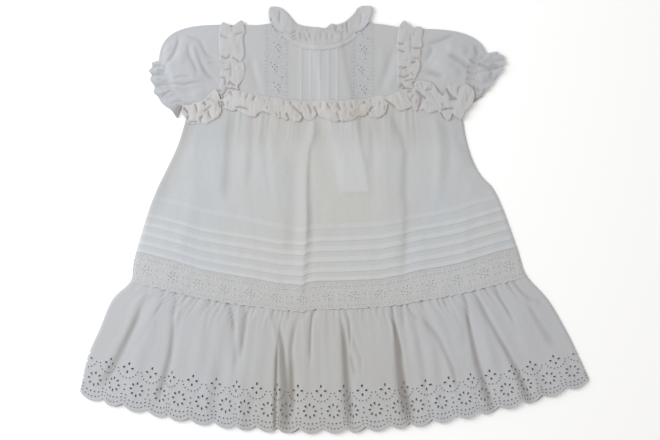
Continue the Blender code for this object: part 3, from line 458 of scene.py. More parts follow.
FLOUNCE_CREASES = Creases(
    flounce_fold(-0.9, 1.5, 147, 290, 145, 298, 141, 308),
    flounce_fold(-1.8, 8, 146, 297, 138, 318, 130, 334, 121, 352, 113, 366, 103, 384,
                 taper=0.3),
    flounce_fold(-1, 1.5, 163.5, 291, 162.3, 300, 160, 309, 154, 316, 147, 321),
    flounce_fold(-0.5, 4, 153, 318, 140, 340, 134, 352),
    flounce_fold(-1.2, 2, 176.3, 293, 175, 305, 172.7, 320),
    flounce_fold(-1.6, 6, 174, 296, 172.5, 340, 170, 360, 165, 378, 157, 402, taper=0.3),
    flounce_fold(0.8, 2.6, 180.5, 296, 178, 310, 174.5, 328),
    flounce_fold(-0.6, 1.4, 187, 294, 186, 304), flounce_fold(-0.8, 1.5, 196, 296, 194, 311),
    flounce_fold(-0.9, 1.5, 210, 300, 209.5, 310, 206, 319),
    flounce_fold(-0.8, 1.5, 218, 300, 217.5, 309, 220, 317),
    flounce_fold(-1.7, 1.9, 228, 302, 230.3, 308, 232.5, 320, 234.5, 334),
    flounce_fold(-0.9, 4, 232, 312, 235, 345, 236, 375),
    flounce_fold(0.8, 3.5, 239, 306, 238.5, 330, 238, 352),
    flounce_fold(-1.5, 2.6, 244, 307, 246.3, 315, 245, 326, 243, 340, 241, 362),
    flounce_fold(-1, 7, 254, 386, 249, 408, 247, 426),
    flounce_fold(-0.8, 8, 222, 352, 213, 420), flounce_fold(0.5, 7, 205, 340, 205, 400),
    flounce_fold(1.2, 1.8, 270, 311, 272.5, 321, 275, 332, 277.5, 342, step=0.8),
    flounce_fold(-2.6, 1.9, 280, 330, 278, 342, 276.7, 356, 276.2, 380, 275.3, 405, 275, 430),
    flounce_fold(-3, 9.5, 278.5, 316, 282, 345, 285, 385, 286, 431, taper=0.1),
    flounce_fold(-1.7, 3.4, 299.5, 306, 296.5, 320, 293.5, 331, 291, 350, 292, 380, 293, 405,
                 taper=0.6),
    flounce_fold(-0.8, 4, 290.5, 350, 292, 375, 293, 402),
    flounce_fold(-0.8, 1.5, 289.5, 309, 290, 320),
    flounce_fold(-0.7, 1.5, 305, 311, 304.8, 320),
    flounce_fold(-0.6, 1.4, 283, 309, 283.5, 316),
    flounce_fold(-1.5, 1.6, 317, 308, 312.5, 315, 311, 330, 310.3, 348, 311, 368, step=-1),
    flounce_fold(0.5, 5, 322, 310, 320, 340), flounce_fold(0.6, 8, 320, 380, 318, 420),
    flounce_fold(0.5, 7, 303, 378, 306, 425),
    flounce_fold(-2.6, 8, 338, 306, 343, 328, 345, 350, 347, 385, 350, 426, taper=0.2),
    flounce_fold(-1.4, 1.7, 346, 313, 349, 320, 350, 333, 350.3, 350),
    flounce_fold(-0.9, 2, 351, 330, 355, 345, 360, 358, 362, 374, step=0.6),
    flounce_fold(-1.2, 2.2, 350, 352, 353.5, 367, 357, 378),
    flounce_fold(-0.7, 1.6, 363, 306, 362.3, 326), flounce_fold(-0.6, 1.4, 371, 306, 373, 313),
    flounce_fold(-0.7, 1.4, 377, 305, 379.5, 311),
    flounce_fold(-1, 1.4, 384, 305.5, 384.7, 315), flounce_fold(0.7, 10, 372, 330, 375, 400),
    flounce_fold(-2, 1.9, 392, 304, 392.5, 318, 396, 334, 400.5, 351, 403.5, 366),
    flounce_fold(-3.2, 9.5, 393.5, 312, 397, 345, 402, 385, 409, 421, taper=0.1),
    flounce_fold(-1.3, 2.2, 401, 303, 402.7, 316, 404, 330),
    flounce_fold(0.8, 6, 411, 335, 414, 375),
    flounce_fold(-1, 1.7, 406, 301, 409, 311, 415, 318, 423, 323),
    flounce_fold(-1.5, 3, 410, 311, 418, 317, 426, 323, 434, 332, 440, 341, 444.5, 351,
                 452, 368, 456, 382),
    flounce_fold(-0.7, 1.4, 421, 301, 424, 309), flounce_fold(-0.6, 1.4, 429, 299.5, 431, 305),
    flounce_fold(-0.9, 1.5, 437.5, 299, 440.5, 310),
    flounce_fold(-0.9, 1.5, 443, 299, 448, 311), flounce_fold(-0.7, 2, 452, 309, 461, 327),
    flounce_fold(-0.6, 1.4, 452, 296, 454, 303), flounce_fold(0.6, 6, 430, 340, 437, 380),
    flounce_fold(-1.6, 2, 463, 295, 466, 305, 468, 320, 471, 335),
    flounce_fold(-2.2, 6.5, 464, 300, 471, 335, 477, 362, 486, 392, 493, 412, taper=0.2),
    flounce_fold(-0.7, 4, 462, 318, 466, 350), flounce_fold(-0.6, 1.4, 458, 296, 459, 303),
    flounce_fold(-1.7, 2.8, 474, 293, 480, 305, 487, 318, 495, 331, 502, 345, 510, 358),
    flounce_fold(-2, 7.5, 497, 332, 508, 354, 518, 374, 529, 400, taper=0.2),
    flounce_fold(0.5, 2, 478, 292, 483, 302), flounce_fold(0.8, 6, 482, 330, 492, 372),
    flounce_fold(-1, 1.5, 483, 289, 489, 297, 496, 304),
    flounce_fold(-1.5, 2, 495, 287.5, 498, 298, 504, 307, 510.5, 317, 516, 328),
    flounce_fold(-1.1, 1.8, 506, 284, 511, 291, 518, 300),
    flounce_fold(-1.4, 2.1, 513, 283, 519, 292, 528, 300, 538, 304, 549, 308),
    flounce_fold(-1.3, 7, 522, 296, 538, 322, 546, 335, 558, 355, taper=0.3),
    flounce_fold(-0.8, 6, 528, 352, 540, 380, 547, 396),
    flounce_fold(-0.6, 6, 560, 348, 575, 381), flounce_fold(0.7, 6, 520, 330, 532, 355),
    flounce_fold(0.6, 7, 96, 350, 90, 385), flounce_fold(-0.5, 2.5, 134, 286, 131, 300),
    flounce_fold(0.5, 9, 117, 300, 106, 330),
)
FLOUNCE_FOLDS = (0.053, 0.17, 0.305, 0.39, 0.535, 0.645, 0.79, 0.88)   # along its width
YOKE_CREASES = Creases(
    Crease(((-101, 199), (-96, 175), (-87, 148)), -0.9, 3.5),
    Crease(((-93, 196), (-84, 160)), 0.5, 4), Crease(((-112, 205), (-104, 150)), 0.5, 5),
    Crease(((74, 212), (64, 180), (53, 150)), -1.1, 4),
    Crease(((84, 206), (76, 180), (62, 150)), 0.7, 4), Crease(((58, 214), (56, 170)), 0.4, 5),
)
SLEEVE_CREASES = {
    Side.LEFT: Creases(
        sleeve_fold(-1.2, 2, 235, 70, 262, 88, 300, 110, 345, 122, 372, 140, 392, 185, 412, 222,
                    445, 252, 490, 274, 535, 305),
        sleeve_fold(-1.4, 2.2, 345, 220, 362, 262, 385, 312, 412, 355, 440, 385, 478, 415,
                    512, 432),
        sleeve_fold(-0.9, 2.2, 312, 128, 290, 160, 286, 200, 300, 250, 325, 295, 345, 340,
                    348, 370, 335, 400),
        sleeve_fold(-1.4, 2.4, 196, 78, 212, 105, 215, 140, 205, 180, 188, 225, 160, 265,
                    130, 295, 98, 318),
        sleeve_fold(-1.3, 1.6, 415, 285, 455, 288, 495, 292, 545, 322),
        sleeve_fold(-0.6, 1.5, 430, 300, 470, 312, 520, 340),
        sleeve_fold(-0.9, 1.6, 165, 408, 200, 398, 240, 385, 290, 385, 320, 395),
        sleeve_fold(-1.1, 1.6, 45, 452, 90, 446, 130, 440, 180, 434, 215, 438, 260, 442,
                    300, 432, 350, 425, 420, 432),
        sleeve_fold(-0.6, 1.7, 185, 455, 220, 472, 262, 490, 300, 500),
        sleeve_fold(-1.1, 1.8, 160, 585, 190, 560, 225, 555, 262, 572, 330, 570, 372, 558),
        sleeve_fold(-0.8, 2.5, 478, 70, 492, 95, 480, 130),
        sleeve_fold(0.9, 2.8, 332, 150, 322, 190, 335, 235, 368, 290, 392, 345),
        sleeve_fold(-0.9, 1.5, 55, 305, 110, 308, 150, 330),
        sleeve_fold(-0.9, 1.5, 60, 340, 125, 345),
        sleeve_fold(-0.9, 1.5, 45, 375, 110, 372, 170, 380),
        sleeve_fold(-0.8, 1.5, 60, 400, 120, 412), sleeve_fold(-0.7, 1.5, 95, 425, 165, 412),
        sleeve_fold(-0.8, 1.5, 75, 480, 120, 470, 180, 452),
        sleeve_fold(-0.9, 1.6, 100, 520, 150, 490, 185, 470),
        sleeve_fold(-0.7, 1.6, 130, 545, 175, 520, 210, 510),
        sleeve_fold(0.8, 5, 150, 150, 120, 220), sleeve_fold(0.9, 5, 245, 190, 235, 300),
        sleeve_fold(0.8, 4, 420, 480, 300, 520),
    ),
    Side.RIGHT: Creases(
        fold(-2.1, 2.5, 423, 46, 432, 43, 440, 40.5, 448, 37, 455, 33),
        fold(-1.9, 3, 432, 45, 430, 52, 426, 58, 422, 63),
        fold(-1.5, 2.8, 475, 43, 477, 52, 478, 58),
        fold(-1.8, 3.3, 445, 53, 455, 58, 463, 63, 468, 68, 470, 75),
        fold(-1.8, 3.3, 420, 72, 430, 73, 440, 76, 446, 79), fold(-1.4, 1.5, 468, 59, 478, 65),
        fold(-1.4, 1.4, 466, 66, 477, 70), fold(-1.4, 1.4, 465, 72, 476, 75),
        fold(-1.2, 1.4, 465, 79, 475, 80),
        fold(-2.2, 1.7, 474, 63, 483, 66, 489, 69, 491, 73, 490, 82),
        fold(-3.5, 2.6, 489, 65.5, 495, 67, 499, 65), fold(1.9, 5, 430, 62, 448, 68, 462, 76),
        fold(1.5, 5, 445, 46, 460, 50, 468, 54), fold(1.5, 2.8, 479, 60, 492, 57),
        fold(1.2, 2.5, 480, 73, 484, 84), fold(-2.2, 1.9, 464, 84, 474, 88, 482, 92),
        fold(-1.5, 2, 486, 88, 482, 98),
    ),
}


def uneven(share: float, waves: float) -> float:
    """Angle that makes a number of waves of slightly uneven length."""
    drift = 0.006 * math.sin(17.0 * share) + 0.0025 * math.sin(41.0 * share)
    return math.tau * waves * (share + drift)


class Flutes:
    """Uneven waves of a gathered edge: their widths, sizes and the way they lean."""

    def __init__(self, count: int, seed: int, spread: float = 0.3) -> None:
        """Draw the waves.

        Args:
            count: how many.
            seed: of the draw.
            spread: how uneven they are.
        """
        draw = Random(seed)
        widths = [1.0 + spread * draw.uniform(-1.0, 1.0) for _ in range(count)]
        total = sum(widths)
        self.starts = [sum(widths[:index]) / total for index in range(count + 1)]
        self.sizes = [1.0 + spread * draw.uniform(-1.0, 1.0) for _ in range(count + 1)]
        self.leans = [draw.uniform(-1.0, 1.0) for _ in range(count + 1)]

    def at(self, share: float) -> tuple[float, float, float]:
        """Angle through the waves, their size and their lean at a share of the edge."""
        share = clamp(share, 0.0, 1.0 - 1e-9)
        index = max(i for i, start in enumerate(self.starts) if start <= share)
        index = min(index, len(self.starts) - 2)
        inside = (share - self.starts[index]) / (self.starts[index + 1] - self.starts[index])
        angle = math.tau * (index + inside)
        return (angle, mix(self.sizes[index], self.sizes[index + 1], soft(inside)),
                mix(self.leans[index], self.leans[index + 1], soft(inside)))


# ---------------------------------------------------------------- the laid form

class Plan:
    """Outlines and layers of the laid dress, as its solids have them."""

    @staticmethod
    def seam_y(x: float) -> float:
        """Height up the dress of the seam between yoke and skirt."""
        return SEAM_LOW_Y + SEAM_SAG * ((x - SEAM_LOW_X) / 100.0) ** 2

    @staticmethod
    def neck_y(x: float) -> float:
        """Height up the dress of the neck edge."""
        return NECK_LOW_Y + NECK_DEPTH * (abs(x - NECK_X) / NECK_HALF_WIDTH) ** NECK_POWER

    @classmethod
    def yoke_top_y(cls, x: float) -> float:
        """Top edge of the yoke: the neck edge, and the shoulders beside it."""
        return min(straight(SHOULDER, x), cls.neck_y(x))

    @staticmethod
    def armhole_x(side: Side, y: float) -> float:
        """Edge of the yoke at the armhole."""
        return straight(ARMHOLE[side][:5], y, by_y=True)

    @classmethod
    def skirt_top_y(cls, x: float) -> float:
        """Top edge of the skirt: the yoke seam, then the armhole down to the underarm."""
        side = Side.LEFT if x < NECK_X else Side.RIGHT
        corner = ARMHOLE[side][4].x
        if (x - corner) * side.outward > 0.0:
            return straight(ARMHOLE[side][4:], x) - 2.0 * ARM_SEAM
        return cls.seam_y(x)

    @classmethod
    def body(cls, across: float, level: float) -> Spot:
        """Place of a point of the skirt, band or flounce.

        Args:
            across: -1 at the left side seam to 1 at the right one.
            level: place in LEVELS.

        Returns:
            The place in plan.
        """
        left_x, left_y, right_x, right_y, middle_y = (
            along(column, level) for column in LEVEL_COLUMNS)
        share = (across + 1.0) / 2.0
        x = mix(left_x, right_x, share)
        y = mix(left_y, right_y, share)
        y += (middle_y - (left_y + right_y) / 2.0) * (1.0 - across ** 2)
        if level < 1.0:
            top = LEVELS[0]
            plain = mix(top.left_y, top.right_y, share)
            plain += (top.middle_y - (top.left_y + top.right_y) / 2.0) * (1.0 - across ** 2)
            top_x = mix(top.left_x, top.right_x, share)
            y += (cls.skirt_top_y(top_x) - plain) * (1.0 - level)
        return Spot(x, y)

    @staticmethod
    def opening_x(y: float) -> float:
        """Line of the back opening."""
        share = (y - OPENING_TOP.y) / (OPENING_FOOT.y - OPENING_TOP.y)
        return mix(OPENING_TOP.x, OPENING_FOOT.x, share)

    @classmethod
    def neck_point(cls, share: float, out: float) -> Spot:
        """Point a distance out from the neck edge, towards the middle of the neck."""
        x = NECK_X + NECK_REACH * math.sin(math.pi * (share - 0.5))
        slope = (cls.neck_y(x + 0.05) - cls.neck_y(x - 0.05)) / 0.1
        length = math.hypot(1.0, slope)
        return Spot(x - out * slope / length, cls.neck_y(x) + out / length)

    @classmethod
    def back_lift(cls, x: float, y: float) -> float:
        """Height of the back's underside, which rests on the buttons at the opening."""
        aside = abs(x - cls.opening_x(y))
        across = soft((LIFT_END - aside) / (LIFT_END - LIFT_FLAT))
        return BUTTON_LIFT * across * soft((y - LIFT_FOOT_Y) / (LIFT_FULL_Y - LIFT_FOOT_Y))

    @classmethod
    def front_rest(cls, x: float, y: float) -> float:
        """Lowest height at which the inside of the front may lie over the back."""
        aside = abs(x - cls.opening_x(y))
        over_facing = soft((22.0 - aside) / 7.0) * soft((y - OPENING_FOOT.y + 6.0) / 6.0)
        over_buttons = soft((34.0 - aside) / 22.0) * soft((y - LIFT_FOOT_Y + 16.0) / 24.0)
        return WALL + SEAM + 0.8 * over_facing + BUTTON_LIFT * over_buttons

    @staticmethod
    def roll(distance: float, height: float) -> float:
        """Height of the outside near a side seam, where it rounds down to the back."""
        low = 2.0 * SHELL
        near = clamp(distance / SIDE_ROLL)
        return mix(low, height, math.sqrt(1.0 - (1.0 - near) ** 2))

    @classmethod
    def yoke_top(cls, x: float, y: float) -> float:
        """Height of the outside of the yoke front."""
        rise = YOKE_CREASES.at(x, y)[2]
        return cls.front_rest(x, y) + YOKE_EASE + WALL + rise + 0.15 * crumple(x, y, 9.0, 3.0)

    @classmethod
    def over_yoke(cls, x: float, y: float) -> float:
        """Height just clear of the yoke and of the inner ends of the sleeves."""
        return cls.front_rest(x, y) + YOKE_EASE + WALL + SEAM

    @classmethod
    def over_skirt(cls, x: float, y: float) -> float:
        """Height just clear of the gathers at the top of the skirt."""
        return (cls.front_rest(x, y) + EASE[0] + 0.9 + SKIRT_GATHER_RISE * 0.7
                + WALL + SEAM)

    @classmethod
    def under_button(cls) -> tuple[float, float]:
        """Move from the tables' places to the frame's, found at the first button."""
        low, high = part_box("back_button_1")
        middle = (low + high) / 2.0 / MM
        return middle.x - cls.opening_x(BUTTONS[0]), middle.y - BUTTONS[0]


SHIFT_X, SHIFT_Y = Plan.under_button()


# ---------------------------------------------------------------- finishes

Colour = tuple[float, float, float]


class Nodes:
    """A short way to write a node tree."""

    def __init__(self, tree: bpy.types.NodeTree) -> None:
        """Take hold of a tree."""
        self.tree = tree

    def add(self, kind: str, values: dict | None = None, **settings: object) -> bpy.types.Node:
        """Add a node.

        Args:
            kind: Blender's name of the node.
            values: values or source sockets for its inputs, by name or number.
            settings: the node's own settings.

        Returns:
            The node.
        """
        node = self.tree.nodes.new(kind)
        for name, value in settings.items():
            setattr(node, name, value)
        self.feed(node, values or {})
        return node

    def feed(self, node: bpy.types.Node, values: dict) -> None:
        """Set inputs of a node to values, or link them to source sockets."""
        for name, value in values.items():
            if isinstance(value, bpy.types.NodeSocket):
                self.tree.links.new(value, node.inputs[name])
            else:
                node.inputs[name].default_value = value

    def math(self, operation: str, first: object, second: object = 0.5,
             clamped: bool = False) -> bpy.types.NodeSocket:
        """Add an arithmetic node and give its result."""
        node = self.add("ShaderNodeMath", {0: first, 1: second}, operation=operation,
                        use_clamp=clamped)
        return node.outputs[0]

    def blend(self, share: object, first: object, second: object,
              kind: str = "MIX") -> bpy.types.NodeSocket:
        """Mix two colours and give the result."""
        node = self.add("ShaderNodeMix", {0: share, 6: first, 7: second}, data_type="RGBA",
                        blend_type=kind)
        return node.outputs[2]


def group_of(name: str, inputs: dict[str, tuple[str, object]],
             outputs: dict[str, str]) -> tuple[bpy.types.NodeTree, Nodes,
                                               bpy.types.Node, bpy.types.Node]:
    """Start a shader node group with named sockets.

    Args:
        name: the group's name.
        inputs: kind of socket and starting value, by name.
        outputs: kind of socket, by name.

    Returns:
        The group, a writer for it, its input node and its output node.
    """
    group = bpy.data.node_groups.new(name, "ShaderNodeTree")
    for socket, (kind, value) in inputs.items():
        made = group.interface.new_socket(socket, in_out="INPUT", socket_type=kind)
        if value is not None:
            made.default_value = value
    for socket, kind in outputs.items():
        group.interface.new_socket(socket, in_out="OUTPUT", socket_type=kind)
    nodes = Nodes(group)
    return group, nodes, nodes.add("NodeGroupInput"), nodes.add("NodeGroupOutput")


def weave_group() -> bpy.types.NodeTree:
    """Plain weave: threads that cross, each a little thick or thin along its length."""
    group, nodes, given, result = group_of(
        "plain_weave",
        {"Vector": ("NodeSocketVector", None), "Thread Scale": ("NodeSocketFloat", 800.0)},
        {"Height": "NodeSocketFloat", "Shade": "NodeSocketFloat"})
    bands = []
    for direction in ("X", "Y"):
        wave = nodes.add("ShaderNodeTexWave", {
            "Vector": given.outputs["Vector"], "Scale": given.outputs["Thread Scale"],
            "Distortion": 0.6, "Detail": 1.0}, bands_direction=direction)
        bands.append(wave.outputs["Fac"])
    slub = nodes.add("ShaderNodeTexNoise", {
        "Vector": given.outputs["Vector"], "Scale": 420.0, "Detail": 2.0})
    crossing = nodes.math("MULTIPLY", bands[0], bands[1])
    height = nodes.math("ADD", crossing, slub.outputs["Fac"])
    nodes.feed(result, {"Height": height, "Shade": slub.outputs["Fac"]})
    return group


def crinkle_group() -> bpy.types.NodeTree:
    """Small soft crinkles of washed cotton, longer along the cloth than across it."""
    group, nodes, given, result = group_of(
        "fine_crinkles",
        {"Vector": ("NodeSocketVector", None), "Crinkle Scale": ("NodeSocketFloat", 150.0)},
        {"Height": "NodeSocketFloat"})
    drawn = nodes.add("ShaderNodeVectorMath", {0: given.outputs["Vector"],
                                               1: (1.0, 0.45, 1.0)}, operation="MULTIPLY")
    noise_of = nodes.add("ShaderNodeTexNoise", {
        "Vector": drawn.outputs["Vector"], "Scale": given.outputs["Crinkle Scale"],
        "Detail": 4.0, "Roughness": 0.62, "Distortion": 0.8})
    nodes.feed(result, {"Height": noise_of.outputs["Fac"]})
    return group


def patch_group() -> bpy.types.NodeTree:
    """Broad, faint patches in old white cotton, and painted light: a cooler, cleaner tint towards
    both sides of the dress.
    """
    group, nodes, given, result = group_of(
        "faint_patches",
        {"Vector": ("NodeSocketVector", None), "Patch Scale": ("NodeSocketFloat", 9.0)},
        {"Share": "NodeSocketFloat"})
    broad = nodes.add("ShaderNodeTexNoise", {
        "Vector": given.outputs["Vector"], "Scale": given.outputs["Patch Scale"],
        "Detail": 3.0, "Roughness": 0.55})
    # painted light: towards both sides of the dress the cloth leans to its lighter, cooler clean
    # colour
    across = nodes.add("ShaderNodeSeparateXYZ", {"Vector": given.outputs["Vector"]})
    aside = nodes.math("ABSOLUTE", nodes.math("ADD", across.outputs["X"], 0.01))
    sides = nodes.add("ShaderNodeMapRange", {
        "Value": aside, "From Min": 0.02, "From Max": 0.17}, interpolation_type="SMOOTHSTEP")
    both = nodes.math("ADD", nodes.math("MULTIPLY", broad.outputs["Fac"], 0.9),
                      nodes.math("MULTIPLY", sides.outputs["Result"], 0.35))
    ramp = nodes.add("ShaderNodeMapRange", {"Value": both, "From Min": 0.40, "From Max": 0.85})
    nodes.feed(result, {"Share": ramp.outputs["Result"]})
    return group


def threadwork_group() -> bpy.types.NodeTree:
    """Close embroidery: rows of small stitches and the tiny holes between them."""
    group, nodes, given, result = group_of(
        "threadwork",
        {"Vector": ("NodeSocketVector", None), "Stitch Scale": ("NodeSocketFloat", 520.0)},
        {"Height": "NodeSocketFloat", "Holes": "NodeSocketFloat"})
    cells = nodes.add("ShaderNodeTexVoronoi", {
        "Vector": given.outputs["Vector"], "Scale": given.outputs["Stitch Scale"],
        "Randomness": 0.35})
    holes = nodes.add("ShaderNodeMapRange", {
        "Value": cells.outputs["Distance"], "From Min": 0.16, "From Max": 0.34})
    rows = nodes.add("ShaderNodeTexWave", {
        "Vector": given.outputs["Vector"], "Scale": 190.0, "Distortion": 1.2,
        "Detail": 1.0}, bands_direction="Y")
    height = nodes.math("ADD", holes.outputs["Result"], rows.outputs["Fac"])
    nodes.feed(result, {"Height": height, "Holes": holes.outputs["Result"]})
    return group


class Groups:
    """The shared node groups, each built once."""

    weave: bpy.types.NodeTree
    crinkles: bpy.types.NodeTree
    patches: bpy.types.NodeTree
    threadwork: bpy.types.NodeTree

    @classmethod
    def build(cls) -> None:
        """Build every group."""
        cls.weave = weave_group()
        cls.crinkles = crinkle_group()
        cls.patches = patch_group()
        cls.threadwork = threadwork_group()


def new_material(name: str) -> tuple[bpy.types.Material, Nodes, bpy.types.Node]:
    """Start a material: itself, a writer for its nodes, and its shader."""
    material = bpy.data.materials.new(name)
    material.use_nodes = True
    return (material, Nodes(material.node_tree),
            material.node_tree.nodes["Principled BSDF"])


@dataclass(frozen=True)
class ClothFinish:
    """How one kind of cloth looks."""

    name: str
    slot: str
    clean: Colour            # most of the cloth
    faint: Colour            # its fainter patches
    doubled_and_painted_light: Colour          # lighter where two or three layers lie together, and painted light on tucks, the neck binding and the neck frill's ends
    painted_shade: Colour           # painted shade, deep between folds and in other shaded places
    thread_scale: float = 800.0
    patch_scale: float = 9.0
    nap: float = 0.16        # strength of the weave's relief
    crinkled: float = 0.35   # and of the small crinkles
    sheen: float = 0.10
    roughness: float = 0.82
    worked: bool = False     # embroidered all over

    def material(self) -> bpy.types.Material:
        """Build the finish as a material."""
        material, nodes, shader = new_material(self.name)
        cut = nodes.add("ShaderNodeUVMap", uv_map="cut").outputs["UV"]
        place = nodes.add("ShaderNodeTexCoord").outputs["Object"]
        weave = nodes.add("ShaderNodeGroup", {
            "Vector": cut, "Thread Scale": self.thread_scale}, node_tree=Groups.weave)
        patches = nodes.add("ShaderNodeGroup", {
            "Vector": place, "Patch Scale": self.patch_scale}, node_tree=Groups.patches)
        layers, painted_shade = (nodes.add("ShaderNodeAttribute", attribute_name=name).outputs["Fac"]
                          for name in ("layers", "painted_shade"))
        colour = nodes.blend(patches.outputs["Share"], (*self.faint, 1.0), (*self.clean, 1.0))
        # lighter where layers of cloth lie together, and painted light on the tucks, the crown of
        # the neck binding and the ends of the neck frill
        colour = nodes.blend(layers, colour, (*self.doubled_and_painted_light, 1.0))
        # painted shade: the colour turns to the painted shade colour in folds and other shaded
        # places
        colour = nodes.blend(painted_shade, colour, (*self.painted_shade, 1.0))
        height, strength = weave.outputs["Height"], self.nap
        if self.worked:
            work = nodes.add("ShaderNodeGroup", {"Vector": cut}, node_tree=Groups.threadwork)
            # painted shade: the colour darkens in the tiny holes between the stitches
            shade = nodes.math("MULTIPLY_ADD", work.outputs["Holes"], 0.24)
            shade.node.inputs[2].default_value = 0.77
            colour = nodes.blend(1.0, colour, shade, "MULTIPLY")
            height, strength = work.outputs["Height"], self.nap * 2.5
        crinkles = nodes.add("ShaderNodeGroup", {"Vector": cut}, node_tree=Groups.crinkles)
        rumpled = nodes.add("ShaderNodeBump", {
            "Strength": self.crinkled, "Distance": 0.0009,
            "Height": crinkles.outputs["Height"]})
        bump = nodes.add("ShaderNodeBump", {
            "Strength": strength, "Distance": 0.0003, "Height": height,
            "Normal": rumpled.outputs["Normal"]})
        nodes.feed(shader, {
            "Base Color": colour, "Normal": bump.outputs["Normal"],
            "Roughness": self.roughness, "Sheen Weight": self.sheen,
            "Sheen Roughness": 0.5, "Specular IOR Level": 0.25})
        return material


COTTON = ClothFinish("white_lawn", "white_cotton", (0.478, 0.496, 0.514), (0.493, 0.488, 0.470),
                     (0.555, 0.568, 0.572), (0.36, 0.345, 0.33), patch_scale=13.0)
# Darker copy of the white lawn for the yoke, sleeves, cuff frills and neck binding: painted shade
# for the dimmer light on the top of the dress.
YOKE_COTTON = ClothFinish("yoke_lawn_painted_shade", "white_cotton", (0.452, 0.460, 0.480),
                          (0.452, 0.450, 0.448), (0.500, 0.508, 0.522), (0.29, 0.28, 0.28))
# Darker copy of the white lawn for both flounces: painted shade for the dimmer light there; its
# brown painted shade colour darkens its folds.
FLOUNCE_COTTON = ClothFinish("flounce_lawn_painted_shade", "white_cotton", (0.462, 0.467, 0.486),
                             (0.448, 0.442, 0.430), (0.52, 0.52, 0.53), (0.165, 0.137, 0.115))
# Copy of the white lawn in painted shade, for the neck frills that lie in shade; its doubled
# colour is the painted light on the ends of the front frill.
COTTON_IN_SHADE = ClothFinish("frill_lawn_painted_shade", "cream_cotton", (0.478, 0.481, 0.498),
                              (0.436, 0.434, 0.426), (0.486, 0.488, 0.510),
                              (0.26, 0.24, 0.215))
LACE = ClothFinish("insertion_lace", "lace", (0.488, 0.490, 0.498), (0.474, 0.467, 0.455),
                   (0.53, 0.53, 0.52), (0.36, 0.34, 0.31), worked=True)
CREAM = ClothFinish("cream_lawn", "cream_cotton", (0.515, 0.506, 0.503), (0.470, 0.449, 0.428),
                    (0.54, 0.53, 0.51), (0.235, 0.188, 0.145), patch_scale=50.0, crinkled=0.6)
# Darker copy of the lace for the yoke strips: painted shade, as with the yoke's lawn.
YOKE_LACE = ClothFinish("yoke_lace", "lace", (0.452, 0.457, 0.470), (0.445, 0.447, 0.452),
                        (0.52, 0.52, 0.52), (0.36, 0.34, 0.31), worked=True)
PALE_CREAM = ClothFinish("pale_ruffle_lawn", "cream_cotton", (0.478, 0.474, 0.482),
                         (0.470, 0.456, 0.448), (0.53, 0.52, 0.52), (0.225, 0.185, 0.155),
                         patch_scale=50.0, crinkled=0.6)


@dataclass(frozen=True)
class BandedFinish:
    """Smooth stuff with fine bands of light and dark in it."""

    name: str
    slot: str
    light: Colour
    dark: Colour
    roughness: float
    coat: float              # strength of the polish
    band_scale: float
    distortion: float
    direction: str = "X"

    def material(self) -> bpy.types.Material:
        """Build the finish as a material."""
        material, nodes, shader = new_material(self.name)
        bands = nodes.add("ShaderNodeTexWave", {
            "Vector": nodes.add("ShaderNodeTexCoord").outputs["Object"],
            "Scale": self.band_scale, "Distortion": self.distortion},
            bands_direction=self.direction)
        colour = nodes.blend(bands.outputs["Fac"], (*self.dark, 1.0), (*self.light, 1.0))
        nodes.feed(shader, {"Base Color": colour, "Roughness": self.roughness,
                            "Coat Weight": self.coat})
        return material


PEARL = BandedFinish("shell_button", "pearl", (0.82, 0.81, 0.77), (0.66, 0.67, 0.68), 0.22,
                     0.4, 60.0, 9.0)
THREAD = BandedFinish("sewing_thread", "white_cotton", (0.54, 0.545, 0.55),
                      (0.40, 0.40, 0.40), 0.55, 0.0, 700.0, 1.0, "DIAGONAL")
Finish = ClothFinish | BandedFinish


class Wardrobe:
    """Materials, each built once from its finish."""

    made: dict[str, bpy.types.Material] = {}

    @classmethod
    def of(cls, finish: Finish) -> bpy.types.Material:
        """Material of a finish."""
        if finish.name not in cls.made:
            cls.made[finish.name] = finish.material()
        return cls.made[finish.name]


# ---------------------------------------------------------------- making pieces

class Laid(NamedTuple):
    """Where a point of the flat cut comes to lie, and what shows there."""

    x: float
    y: float
    z: float
    # share of the doubled colour: layers of cloth, and painted light on tucks, the neck binding
    # and the neck frill's ends
    layers: float = 0.0
    # share of the painted shade colour, for painted shade in folds and other shaded places
    painted_shade: float = 0.0


Shape = Callable[[float, float], Laid]


class Sheet(NamedTuple):
    """Size of a piece's cut and how it is held."""

    width: float
    length: float
    held: str = "laid"
    rests_on: tuple[str, ...] = ()
    area: float | None = None    # square millimetres


def mesh_of(form: bmesh.types.BMesh, name: str) -> bpy.types.Mesh:
    """Turn a bmesh into a mesh, and free it."""
    mesh = bpy.data.meshes.new(name)
    form.to_mesh(mesh)
    form.free()
    return mesh


def put_in(name: str, data: bpy.types.ID) -> bpy.types.Object:
    """Put an object with some data into the scene."""
    made = bpy.data.objects.new(name, data)
    bpy.context.scene.collection.objects.link(made)
    return made


def verts_of(made: dict) -> list[bmesh.types.BMVert]:
    """Vertices among what an operator made."""
    return [item for item in made["geom"] if isinstance(item, bmesh.types.BMVert)]


def add_piece(form: bmesh.types.BMesh, name: str, finish: Finish,
              replaced: Sequence[str] = ()) -> bpy.types.Object:
    """Turn a bmesh into a piece of the dress.

    Args:
        form: the mesh in metres, freed here.
        name: of the piece.
        finish: its finish.
        replaced: the solids that it stands for.

    Returns:
        The piece.
    """
    mesh = mesh_of(form, name)
    mesh.shade_smooth()
    piece = put_in(name, mesh)
    mesh.materials.append(Wardrobe.of(finish))
    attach(piece, "root")
    if replaced:
        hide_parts(*replaced)
    return piece


